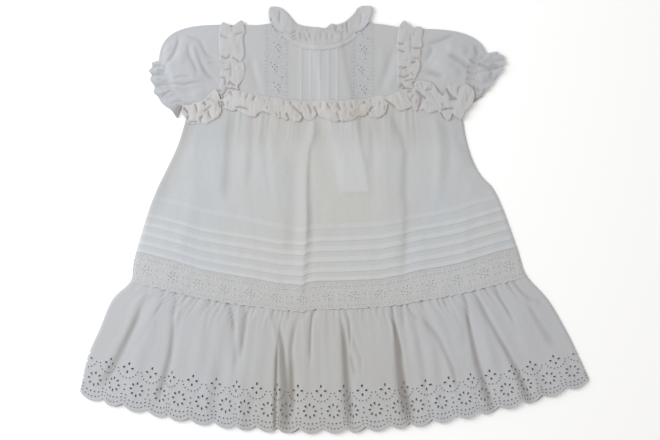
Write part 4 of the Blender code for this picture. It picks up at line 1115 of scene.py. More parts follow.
def lay(form: bmesh.types.BMesh, shape: Shape, cut_scale: tuple[float, float] = (1.0, 1.0)
        ) -> None:
    """Lay a flat cut on the dress.

    Args:
        form: the cut, with its relief as Z in millimetres.
        shape: gives where each point comes to lie.
        cut_scale: millimetres of cloth to one unit of the flat drawing, each way.
    """
    layers = form.verts.layers.float.new("layers")
    painted_shade = form.verts.layers.float.new("painted_shade")
    cut = form.loops.layers.uv.new("cut")
    for face in form.faces:
        for loop in face.loops:
            flat = loop.vert.co
            loop[cut].uv = (flat.x * cut_scale[0] * MM, flat.y * cut_scale[1] * MM)
    for vert in form.verts:
        laid = shape(vert.co.x, vert.co.y)
        vert[layers] = clamp(laid.layers)
        vert[painted_shade] = clamp(laid.painted_shade)
        vert.co = Vector((laid.x + SHIFT_X, laid.y + SHIFT_Y, laid.z + vert.co.z)) * MM
    form.normal_update()
    if sum(face.normal.z * face.calc_area() for face in form.faces) < 0.0:
        bmesh.ops.reverse_faces(form, faces=form.faces[:])


def add_cloth(form: bmesh.types.BMesh, name: str, finish: ClothFinish, sheet: Sheet,
              replaced: Sequence[str] = (), upward: bool = True) -> bpy.types.Object:
    """Turn a laid cut into a piece of thin cloth.

    Args:
        form: the laid cut, which is its outer face.
        name: of the piece.
        finish: its finish.
        sheet: the size of its cut and how it is held.
        replaced: the solids that it stands for.
        upward: give it its thickness below the laid face, and not above.

    Returns:
        The piece.
    """
    for edge in form.edges:
        edge.smooth = not edge.is_boundary
    piece = add_piece(form, name, finish, replaced)
    shell = piece.modifiers.new("thickness", "SOLIDIFY")
    shell.thickness = SHELL * MM
    shell.offset = -1.0 if upward else 1.0
    list(sheet.rests_on)
    laid = sum(face.area for face in piece.data.polygons) / MM / MM
    LOG.info("%s: %d faces, %.2f of its cut", name, len(piece.data.polygons),
             laid / (sheet.area or sheet.width * sheet.length))
    return piece


def grid(columns: int, rows: int) -> bmesh.types.BMesh:
    """Flat grid from 0 to 1 each way."""
    form = bmesh.new()
    bmesh.ops.create_grid(form, x_segments=columns, y_segments=rows, size=0.5)
    bmesh.ops.translate(form, verts=form.verts[:], vec=(0.5, 0.5, 0.0))
    return form


def grid_at(xs: Sequence[float], ys: Sequence[float]) -> bmesh.types.BMesh:
    """Flat grid whose lines lie at the given places."""
    form = grid(len(xs) - 1, len(ys) - 1)
    for vert in form.verts:
        column = round(vert.co.x * (len(xs) - 1))
        row = round(vert.co.y * (len(ys) - 1))
        vert.co.x, vert.co.y = xs[column], ys[row]
    return form


def steps(start: float, end: float, count: int) -> list[float]:
    """Evenly spaced values from start to end, both included."""
    return [mix(start, end, index / count) for index in range(count + 1)]


class Eyelet(NamedTuple):
    """A worked hole of the cutwork: its place, half length, half width and direction."""

    x: float
    y: float
    long: float
    wide: float
    angle: float = 0.0


@dataclass
class Cutwork:
    """Cloth with worked holes, drawn flat as one repeat and set side by side."""

    xs: Sequence[float]          # grid lines across one repeat, from 0 to its width
    ys: Sequence[float]          # grid lines along it
    eyelets: Sequence[Eyelet]
    rim: float = 0.55            # width of the stitched edge of a hole
    rim_rise: float = 0.22
    segments: int = 10

    def one_repeat(self) -> bmesh.types.BMesh:
        """Cut the holes of one repeat, rims included, out of a flat grid."""
        slab = grid_at(self.xs, self.ys)
        made = bmesh.ops.extrude_face_region(slab, geom=slab.faces[:], use_keep_orig=True)
        bmesh.ops.translate(slab, verts=verts_of(made), vec=(0.0, 0.0, 1.0))
        bmesh.ops.recalc_face_normals(slab, faces=slab.faces[:])
        cutter = bmesh.new()
        for eyelet in self.eyelets:
            sides = self.segments if eyelet.long > 1.0 else 6
            form = (Matrix.Translation((eyelet.x, eyelet.y, 0.5))
                    @ Matrix.Rotation(eyelet.angle, 4, "Z")
                    @ Matrix.Diagonal((eyelet.long + self.rim, eyelet.wide + self.rim, 1.0, 1.0)))
            bmesh.ops.create_cone(cutter, cap_ends=True, segments=sides, radius1=1.0,
                                  radius2=1.0, depth=3.0, matrix=form)
        bodies = [put_in(name, mesh_of(form, name))
                  for name, form in (("slab", slab), ("cutter", cutter))]
        cut = bodies[0].modifiers.new("holes", "BOOLEAN")
        cut.operation = "DIFFERENCE"
        cut.object = bodies[1]
        tools = bpy.context.evaluated_depsgraph_get()
        form = bmesh.new()
        form.from_mesh(bodies[0].evaluated_get(tools).to_mesh())
        for body in bodies:
            bpy.data.objects.remove(body, do_unlink=True)
        lower = [face for face in form.faces
                 if face.calc_center_median().z < 0.99 or face.normal.z < 0.5]
        bmesh.ops.delete(form, geom=lower, context="FACES")
        for vert in form.verts:
            vert.co.z = 0.0
        many = [face for face in form.faces if len(face.verts) > 4]
        bmesh.ops.triangulate(form, faces=many, quad_method="BEAUTY", ngon_method="BEAUTY")
        return form

    def strip(self, repeats: int) -> bmesh.types.BMesh:
        """Set repeats side by side, join them and work the rims of the holes."""
        form = self.one_repeat()
        first = form.verts[:] + form.edges[:] + form.faces[:]
        width = self.xs[-1] - self.xs[0]
        for number in range(1, repeats):
            copy = bmesh.ops.duplicate(form, geom=first)
            bmesh.ops.translate(form, verts=verts_of(copy), vec=(width * number, 0.0, 0.0))
        bmesh.ops.remove_doubles(form, verts=form.verts[:], dist=0.02)
        self.work_rims(form)
        return form

    def work_rims(self, form: bmesh.types.BMesh) -> None:
        """Raise a stitched rim inside the edge of every hole."""
        centre_of: dict[bmesh.types.BMVert, Vector] = {}
        edges: list[bmesh.types.BMEdge] = []
        for loop in self.holes(form):
            verts = {vert for edge in loop for vert in edge.verts}
            middle = sum((vert.co for vert in verts), Vector()) / len(verts)
            reach = sum((vert.co - middle).length for vert in verts) / len(verts)
            if reach < 6.0:
                centre_of.update({vert: middle for vert in verts})
                edges.extend(loop)
        for travel, rise in ((0.45, self.rim_rise), (0.55, -0.10)):
            made = bmesh.ops.extrude_edge_only(form, edges=edges)
            fresh = verts_of(made)
            edges = [item for item in made["geom"] if isinstance(item, bmesh.types.BMEdge)
                     and item.is_boundary]
            for vert in fresh:
                old = next(edge.other_vert(vert) for edge in vert.link_edges
                           if edge.other_vert(vert) in centre_of)
                inward = (centre_of[old] - old.co).normalized() * (self.rim * travel)
                vert.co = Vector((old.co.x + inward.x, old.co.y + inward.y, rise))
            centre_of = {vert: centre_of[next(
                edge.other_vert(vert) for edge in vert.link_edges
                if edge.other_vert(vert) in centre_of)] for vert in fresh}

    @staticmethod
    def holes(form: bmesh.types.BMesh) -> list[list[bmesh.types.BMEdge]]:
        """Connected runs of the open edges."""
        waiting = {edge for edge in form.edges if edge.is_boundary}
        runs = []
        while waiting:
            run, front = [], [waiting.pop()]
            while front:
                edge = front.pop()
                run.append(edge)
                for vert in edge.verts:
                    near = [other for other in vert.link_edges if other in waiting]
                    waiting.difference_update(near)
                    front.extend(near)
            runs.append(run)
        return runs


# ---------------------------------------------------------------- skirt

class TuckRow(NamedTuple):
    """A row of a tuck's profile: millimetres above its folded edge, rise and layers."""

    above: float
    rise: float
    layers: float


# Its layers column lightens each tuck for its doubled cloth, and also paints light on the tuck's
# raised top.
TUCK_PROFILE = (
    TuckRow(6.6, 0.0, 0.0), TuckRow(5.9, 0.04, 0.1), TuckRow(5.2, 0.18, 0.5),
    TuckRow(4.6, 0.32, 0.9), TuckRow(3.6, 0.38, 1.0), TuckRow(2.4, 0.42, 1.0),
    TuckRow(1.2, 0.43, 1.0), TuckRow(0.5, 0.41, 0.9), TuckRow(0.1, 0.33, 0.7),
    TuckRow(-0.1, 0.20, 0.3), TuckRow(-0.2, 0.08, 0.0), TuckRow(-0.5, 0.02, 0.0),
    TuckRow(-1.2, 0.0, 0.0), TuckRow(-2.2, 0.0, 0.0),
)


TUCK_SHIFT = (      # how far up the dress the tucks lie from their even places
    Spot(-221.0, 7.8), Spot(-203.0, 7.2), Spot(-185.0, 6.0), Spot(-161.0, 2.6),
    Spot(-137.0, 1.6), Spot(-101.0, 0.0), Spot(-65.0, -2.8), Spot(-41.0, -1.4),
    Spot(-17.0, 0.0), Spot(58.0, 0.0), Spot(79.0, 3.4), Spot(103.0, 5.6), Spot(127.0, 6.0),
    Spot(151.0, 6.8), Spot(175.0, 9.1), Spot(199.0, 10.8),
)
SOFT_TUCK_SHIFT = (     # and how much farther the soft tuck above them
    Spot(-210.0, 7.8), Spot(-137.0, 7.8), Spot(-65.0, 4.2), Spot(-41.0, 0.6), Spot(127.0, 0.0),
    Spot(175.0, 2.4), Spot(199.0, 1.0),
)


class BodyRow(NamedTuple):
    """A row of the skirt's grid: its level, the cloth's rise there and its layers."""

    level: float
    rise: float
    layers: float


@dataclass
class Skirt:
    """Front and back of the skirt, with its gathers, folds and tucks."""

    columns: int = 190
    row_step: float = 2.6
    soft_tuck_edge: float = 3.89
    soft_tuck_size: float = 0.55
    gathers: Flutes = Flutes(44, 5, 0.45)
    crest_x: float = -37.0
    crest_sag: float = 4.2
    valley_x: float = 81.0
    valley_sag: float = 1.8

    def crest_dip(self, x: float, level: float) -> float:
        """Dip of the tucks and the band where the sharp fold crosses them."""
        aside = x - self.crest_x
        reach = 34.0 if aside < 0.0 else 5.0
        crest = self.crest_sag * math.exp(-abs(aside) / reach)
        valley = self.valley_sag * math.exp(-abs(x - self.valley_x) / 9.0)
        return -(crest + valley) * soft((level - 2.8) / 1.2) * soft((7.2 - level) / 1.6)

    @staticmethod
    def shifted(x: float, y: float, across: float, level: float) -> Spot:
        """Move a point along the side seams to where the tucks and the band lie."""
        up = straight(TUCK_SHIFT, x) * mix(1.0, 0.35, soft(level - 5.0))
        up += straight(SOFT_TUCK_SHIFT, x) * clamp((4.04 - level) / 0.15)
        up *= soft((level - 2.2) / 1.4) * soft((8.0 - level) / 1.8)
        lean = mix(0.46, 0.31, soft((level - 3.2) / 1.2))
        return Spot(x - lean * across * up, y + up)

    def outside(self, across: float, level: float) -> Laid:
        """Point of the outer face of the front of the skirt or of the band.

        Args:
            across: -1 at the left side seam to 1 at the right one.
            level: place in LEVELS.

        Returns:
            The point.
        """
        x, y = Plan.body(across, level)
        push_x, push_y, folds = SKIRT_CREASES.at(x, y)
        folds *= soft(level / 0.7)
        reach = soft((GATHER_REACH - abs(across)) / 0.08)
        gathered = clamp(1.0 - level / 1.6) * reach
        share = (across + 1.0) / 2.0
        wave = 0.5 + 0.5 * math.cos(uneven(share, SKIRT_GATHERS))
        angle, size, lean = self.gathers.at(share)
        small = 0.42 * size * math.cos(angle) * reach * soft((1.5 - level) / 1.3)
        small *= 0.55 + 0.45 * lean
        lift = along(EASE, min(level, BAND_FOOT)) + folds + SKIRT_GATHER_RISE * gathered * wave
        lift += small + 0.45 * crumple(x, y, 16.0, 1.0) + 0.16 * crumple(x, y, 5.0, 2.0)
        side = soft((1.0 - abs(across)) / SIDE_FADE)
        height = Plan.front_rest(x, y) + WALL + side * max(lift, -0.3)
        edge = (1.0 - abs(across)) * (LEVELS[4].right_x - LEVELS[4].left_x) / 2.0
        x, y = self.shifted(x, y, across, level)
        # painted shade: in the troughs of the creases, under the yoke ruffle, and along the left
        # edge where the light catches the rounded side
        painted_shade = 0.3 * soft(-folds / 1.3) + 0.22 * soft((y - 76.0) / 34.0)
        if across < 0.0:
            painted_shade += 0.52 * soft((28.0 - edge) / 28.0) * soft((y + 20.0) / 60.0)
        y += self.crest_dip(x, level) * side
        return Laid(x + push_x * side, y + push_y * side, Plan.roll(edge, height), 0.0, painted_shade)

    def rows(self) -> list[BodyRow]:
        """Rows of the front, from the yoke seam down to the band."""
        lines = [row.middle_y for row in LEVELS]
        per_mm = [1.0 / (high - low) for high, low in zip(lines, lines[1:])]
        soft_size = (TUCK_PROFILE[0].above + 1.0) * per_mm[3]
        rows = []
        level = 0.008
        while level < self.soft_tuck_edge - soft_size:
            rows.append(BodyRow(level, 0.0, 0.0))
            level += self.row_step * per_mm[int(level)]
        for row in TUCK_PROFILE:
            rows.append(BodyRow(self.soft_tuck_edge - row.above * per_mm[3],
                                row.rise * self.soft_tuck_size, 0.5 * row.layers))
        for tuck in range(TUCKS):
            edge = FIRST_TUCK + (tuck + 1) / TUCKS - 0.008
            last = tuck == TUCKS - 1
            for row in TUCK_PROFILE:
                if last and row.above < -0.3:
                    continue
                rows.append(BodyRow(edge - row.above * per_mm[4], row.rise, row.layers))
        rows += [BodyRow(5.004, -0.1, 0.0), BodyRow(5.04, -0.45, 0.0)]
        return rows

    def facing_share(self, x: float, y: float) -> float:
        """Share of the light that the facing inside throws back through the front."""
        aside = abs(x - Plan.opening_x(y))
        across = clamp((FACING_HALF_WIDTH - aside) / 1.2 + 0.5)
        return across * clamp((y - OPENING_FOOT.y) / 1.2 + 0.5)

    def build_front(self) -> None:
        """Gathered and tucked front."""
        rows = self.rows()
        form = grid(self.columns, len(rows) - 1)

        def shape(u: float, v: float) -> Laid:
            """Where a point of the flat cut lies on the dress."""
            row = rows[round(v * (len(rows) - 1))]
            laid = self.outside(2.0 * u - 1.0, row.level)
            near_side = clamp((1.0 - abs(2.0 * u - 1.0)) * 60.0)
            ghost = 0.5 * self.facing_share(laid.x, laid.y)
            pucker = 0.12 * crumple(laid.x, laid.y, 3.0, 4.0) if row.layers else 0.0
            return laid._replace(z=laid.z + row.rise * near_side + pucker,
                                 y=laid.y + 0.5 * pucker,
                                 layers=max(row.layers * 0.58, ghost))

        lay(form, shape, (450.0, 330.0))
        add_cloth(form, "skirt_front_cloth", COTTON,
                  Sheet(560.0, 290.0, "gathered", ("skirt_back_cloth", "placket_facing_cloth"),
                        0.62 * 560.0 * 290.0),
                  ["skirt_front"])

    def build_back(self) -> None:
        """Flat back, slit for the opening."""
        columns, levels = 120, steps(0.01, 4.99, 56)
        form = grid(columns, len(levels) - 1)
        half = columns // 2

        def plan(u: float, v: float) -> Spot:
            """Where a point of the back lies, seen from above."""
            level = levels[round(v * (len(levels) - 1))]
            left, right = Plan.body(-1.0, level).x, Plan.body(1.0, level).x
            line = Plan.opening_x(Plan.body(0.1, level).y)
            column = round(u * columns)
            if column < half:
                x = mix(left, line - OPENING_HALF_GAP, column / (half - 1))
            else:
                x = mix(line + OPENING_HALF_GAP, right, (column - half) / half)
            return Plan.body(2.0 * (x - left) / (right - left) - 1.0, level)

        slit = []
        for face in form.faces:
            u, v, _ = face.calc_center_median()
            level = levels[int(v * (len(levels) - 1)) + 1]
            if int(u * columns) == half - 1 and Plan.body(0.1, level).y > SLIT_END_Y:
                slit.append(face)
        bmesh.ops.delete(form, geom=slit, context="FACES")

        def shape(u: float, v: float) -> Laid:
            """Where a point of the flat cut lies on the dress."""
            x, y = plan(u, v)
            return Laid(x, y, Plan.back_lift(x, y) + SHELL)

        lay(form, shape, (450.0, 230.0))
        add_cloth(form, "skirt_back_cloth", COTTON,
                  Sheet(460.0, 240.0, "laid", (), 0.74 * 460.0 * 240.0), ["skirt_back"])

    def build(self) -> None:
        """Build the skirt."""
        self.build_front()
        self.build_back()


# ---------------------------------------------------------------- lace insertions

def flower(x: float, y: float, radius: float, petals: int, long: float, wide: float,
           turn: float = 0.0) -> list[Eyelet]:
    """Ring of oval eyelets that point at its middle."""
    made = []
    for number in range(petals):
        angle = turn + math.tau * number / petals
        made.append(Eyelet(x + radius * math.cos(angle), y + radius * math.sin(angle),
                           long, wide, angle))
    return made


@dataclass
class LaceBand:
    """Band of lace insertion between the skirt and the flounce, front and back."""

    skirt: Skirt
    repeats: int = 15
    repeat: float = 30.0
    height: float = 34.0
    edge_scallops: int = 3       # to a repeat
    edge_depth: float = 1.3

    def cutwork(self) -> Cutwork:
        """One repeat: a ring of small eyelets between rows of dots and ladder holes."""
        middle = self.height / 2.0
        holes = flower(15.0, middle + 0.5, 5.4, 7, 0.46, 0.42, 0.3)
        holes += flower(15.0, middle + 0.3, 2.4, 3, 0.46, 0.42, 1.1)
        for x in (3.0, 27.0):
            holes += [Eyelet(x, middle + 3.5, 0.34, 0.34), Eyelet(x, middle - 4.0, 0.34, 0.34)]
        for number in range(7):
            x = self.repeat * (number + 0.5) / 7.0
            holes += [Eyelet(x, 5.2, 0.3, 0.3), Eyelet(x, self.height - 5.0, 0.3, 0.3)]
        return Cutwork(steps(0.0, self.repeat, 10),
                       [0.0, 0.9, 2.6, 6.5, 10.5, 14.5, 18.5, 22.5, 26.5, 30.5, 32.8,
                        self.height], holes, rim=0.3, rim_rise=0.10, segments=8)

    def shape_on(self, outside: Callable[[float, float], Laid]) -> Shape:
        """How the flat band comes to lie on a face of the dress."""
        total = self.repeat * self.repeats

        def shape(a: float, b: float) -> Laid:
            """Where a point of the flat cut lies on the dress."""
            share = clamp(a / total)
            down = 1.0 - b / self.height
            scallops = abs(math.sin(math.pi * self.edge_scallops * a / self.repeat))
            edge = soft((3.0 - b) / 3.0)
            level = mix(BAND_TOP + 0.012, BAND_FOOT + 0.01, down)
            laid = outside(2.0 * share - 1.0, level)
            worked = 0.22 * soft((1.8 - b) / 1.2) + 0.1 * soft((b - self.height + 1.8) / 1.2)
            return laid._replace(y=laid.y - self.edge_depth * (scallops - 0.4) * edge,
                                 z=laid.z + 0.1 + worked, layers=0.25 * worked)

        return shape

    def build(self) -> None:
        """Build both bands."""
        cut = self.cutwork()
        form = cut.strip(self.repeats)
        lay(form, self.shape_on(self.skirt.outside))
        size = (self.repeat * self.repeats, self.height)
        add_cloth(form, "lace_band_front_cloth", LACE,
                  Sheet(*size, "laid", ("lace_band_back_cloth",)), ["lace_band_front"])
        form = cut.strip(self.repeats)
        lay(form, self.shape_on(lambda across, level: Laid(*Plan.body(across, level),
                                                            SHELL - 0.1)))
        for vert in form.verts:
            vert.co.z = SHELL * MM
        add_cloth(form, "lace_band_back_cloth", LACE, Sheet(*size, "laid"),
                  ["lace_band_back"])


# ---------------------------------------------------------------- flounce

def head_gathers(count: int, seed: int) -> Creases:
    """Short uneven gathers that run down from the edge of the band."""
    draw = Random(seed)
    made = []
    for number in range(count):
        across = 1.96 * (number + draw.uniform(0.1, 0.9)) / count - 0.98
        x, y = Plan.body(across, BAND_FOOT + 0.02)
        long, lean = draw.uniform(5.0, 17.0), 0.5 * across + draw.uniform(-0.25, 0.25)
        path = tuple((x + lean * down, y - down) for down in (-0.7 * long, 0.3 * long, long))
        made.append(Crease(path, draw.choice((-0.35, -0.55, -0.8, 0.3)),
                           draw.uniform(0.9, 1.7)))
    return Creases(*made)


@dataclass
class Flounce:
    """Gathered flounce with a scalloped hem in cutwork, front and back."""

    skirt: Skirt
    repeat: float = 30.0
    length: float = 146.0
    fine_gathers: Flutes = Flutes(66, 11, 0.45)
    full_gathers: Flutes = Flutes(27, 23, 0.4)
    head: Creases = field(default_factory=lambda: head_gathers(110, 3))
    head_drop: float = 0.25      # how far the head lies below the band's edge

    def eyelets(self) -> list[Eyelet]:
        """Holes of one repeat, measured up from the lowest line of the hem."""
        middle, side = self.repeat / 2.0, 0.0
        holes = flower(middle, 27.0, 7.3, 8, 1.7, 1.0)
        for x in (side, self.repeat):
            holes += flower(x, 51.0, 5.3, 4, 1.75, 1.1, math.pi / 2.0)
            for number in range(-4, 5):
                turn = math.pi * (1.5 + number / 9.3)
                holes.append(Eyelet(x + 12.8 * math.cos(turn), 51.0 + 12.8 * math.sin(turn),
                                    0.8, 0.8))
            holes += [Eyelet(x, 30.0, 0.85, 0.85), Eyelet(x, 24.0, 0.95, 0.95)]
        for x in (2.7, 27.3):
            holes.append(Eyelet(x, 17.6, 0.95, 0.95))
        for number in range(6):
            holes.append(Eyelet(2.5 + 5.0 * number, 11.8, 0.95, 0.95))
        for number in range(7):
            holes.append(Eyelet(self.repeat * (number + 0.5) / 7.0, 5.8, 0.85, 0.85))
        inside = []
        for hole in holes:
            if -3.0 < hole.x < self.repeat + 3.0:
                inside.append(hole)
        return inside

    def cutwork(self, columns: int) -> Cutwork:
        """One repeat of the flounce, with a worked edge along the hem."""
        ys = [0.0, 0.8, 1.9, 2.8] + steps(7.0, 63.0, 14) + steps(68.0, 153.0, 17)
        return Cutwork(steps(0.0, self.repeat, columns), ys, self.eyelets())

    def place(self, share: float, down: float) -> tuple[Spot, float]:
        """Place in plan of a point of the flounce.

        Args:
            share: 0 at the left side seam to 1 at the right one.
            down: millimetres of cloth below the band.

        Returns:
            The place and its level.
        """
        lines = [LEVELS[BAND_FOOT].middle_y - row.middle_y for row in LEVELS[BAND_FOOT:]]
        level = float(HEM)
        for index in range(len(lines) - 1):
            if down <= lines[index + 1]:
                level = BAND_FOOT + index + (down - lines[index]) / (
                    lines[index + 1] - lines[index])
                break
        past = max(down - lines[-1], 0.0)
        x, y = Plan.body(2.0 * share - 1.0, max(level, BAND_FOOT + 0.01))
        return Spot(x, y - past), level

    def hem_dip(self, a: float, b: float) -> float:
        """How far the scallops lift the cloth at a flat place up from the lowest line."""
        inside = (a / self.repeat) % 1.0
        notch = (2.0 * inside - 1.0) ** 2
        return SCALLOP_DEPTH * notch * clamp(1.0 - (b - 4.0) / 16.0)

    def outside(self, share: float, down: float) -> Laid:
        """Point of the outer face of the front of the flounce."""
        (x, y), level = self.place(share, down)
        across = 2.0 * share - 1.0
        drop = down / self.length
        push_x, push_y, folds = FLOUNCE_CREASES.at(x, y)
        wave = 0.5 + 0.5 * math.cos(uneven(share, FLOUNCE_GATHERS))
        broad = 0.5 + 0.5 * math.cos(uneven(share, 9.0) + 1.0)
        start = EASE[-1] * clamp(1.0 - 3.0 * drop)
        lift = start + FLOUNCE_EASE * soft(2.0 * drop) * (0.6 + 0.4 * broad)
        lift += (FLOUNCE_GATHER_RISE * wave * (1.0 - 0.75 * soft(1.2 * drop))
                 * soft(6.0 * drop + 0.3)) * 0.35
        angle, size, lean = self.fine_gathers.at(share)
        lift += 0.16 * size * math.cos(angle) * soft((0.24 + 0.16 * lean - drop) / 0.22)
        lift += self.head.at(x, y)[2]
        angle, size, lean = self.full_gathers.at(share)
        full = size * soft(drop / 0.2) * soft((1.15 + 0.3 * lean - drop) / 0.7)
        lift += 0.35 * full * math.cos(angle)
        push_x += 0.5 * lean * full * math.cos(angle)
        lift += folds + 0.35 * crumple(x, y, 13.0, 6.0) + 0.12 * crumple(x, y, 4.0, 7.0)
        lift -= self.head_drop * soft(1.0 - down / 5.0)
        side = soft((1.0 - abs(across)) / SIDE_FADE)
        height = Plan.front_rest(x, y) + WALL + side * max(lift, -0.55)
        edge = (1.0 - abs(across)) * 280.0
        # painted shade in the troughs of the folds
        painted_shade = 0.62 * soft(-folds / 3.2)
        x, y = self.skirt.shifted(x, y, across, level)
        y += self.skirt.crest_dip(x, level) * side
        return Laid(x + push_x * side, y + push_y * side, Plan.roll(edge, height), 0.0, painted_shade)

    @staticmethod
    def shown(share: float) -> float:
        """Place along the laid width of a place along the cloth, some of which folds hide."""
        def reach(place: float) -> float:
            """Place along the cloth, less what the folds before it hide."""
            return place - sum(0.005 * math.tanh((place - fold) / 0.011)
                               for fold in FLOUNCE_FOLDS)

        return (reach(share) - reach(0.0)) / (reach(1.0) - reach(0.0))

    def shape_on(self, outside: Callable[[float, float], Laid], worked: bool) -> Shape:
        """How the flat flounce comes to lie on a face of the dress."""
        total = self.repeat * SCALLOPS

        def shape(a: float, b: float) -> Laid:
            """Where a point of the flat cut lies on the dress."""
            up = b + self.hem_dip(a, b)
            down = self.length + SCALLOP_DEPTH / 2.0 - up
            share = self.shown(clamp(a / total)) if worked else clamp(a / total)
            laid = outside(share, max(down, 0.3))
            rise = 0.28 * soft(1.0 - abs(b - 1.2) / 1.2) if worked else 0.0
            return laid._replace(z=laid.z + rise)

        return shape

    def build(self) -> None:
        """Build both flounces."""
        size = (self.repeat * SCALLOPS, self.length + SCALLOP_DEPTH / 2.0)
        form = self.cutwork(18).strip(SCALLOPS)
        lay(form, self.shape_on(self.outside, True))
        add_cloth(form, "flounce_front_cloth", FLOUNCE_COTTON,
                  Sheet(*size, "gathered", ("flounce_back_cloth",)), ["flounce_front"])
        cut = self.cutwork(10)
        cut.rim_rise = 0.0
        form = cut.strip(SCALLOPS)
        lay(form, self.shape_on(lambda share, down: Laid(*self.place(share, down)[0], SHELL),
                                False))
        for vert in form.verts:
            vert.co.z = SHELL * MM
        add_cloth(form, "flounce_back_cloth", FLOUNCE_COTTON, Sheet(*size, "gathered"),
                  ["flounce_back"])


# ---------------------------------------------------------------- yoke

class YokeTuckColumn(NamedTuple):
    """A column of a yoke tuck's profile: millimetres left of its folded edge, and rise."""

    before: float
    rise: float
    layers: float


# Its layers column lightens each tuck for its doubled cloth, and also paints light on the tuck's
# raised top.
YOKE_TUCK_PROFILE = (
    YokeTuckColumn(4.8, 0.0, 0.0), YokeTuckColumn(4.2, 0.06, 0.1),
    YokeTuckColumn(3.5, 0.18, 0.5), YokeTuckColumn(2.8, 0.26, 0.8),
    YokeTuckColumn(1.8, 0.30, 0.9), YokeTuckColumn(0.9, 0.28, 0.7),
    YokeTuckColumn(0.3, 0.20, 0.4), YokeTuckColumn(-0.1, 0.10, 0.1),
    YokeTuckColumn(-0.6, 0.02, 0.0), YokeTuckColumn(-1.2, 0.0, 0.0),
    YokeTuckColumn(-2.2, 0.0, 0.0),
)


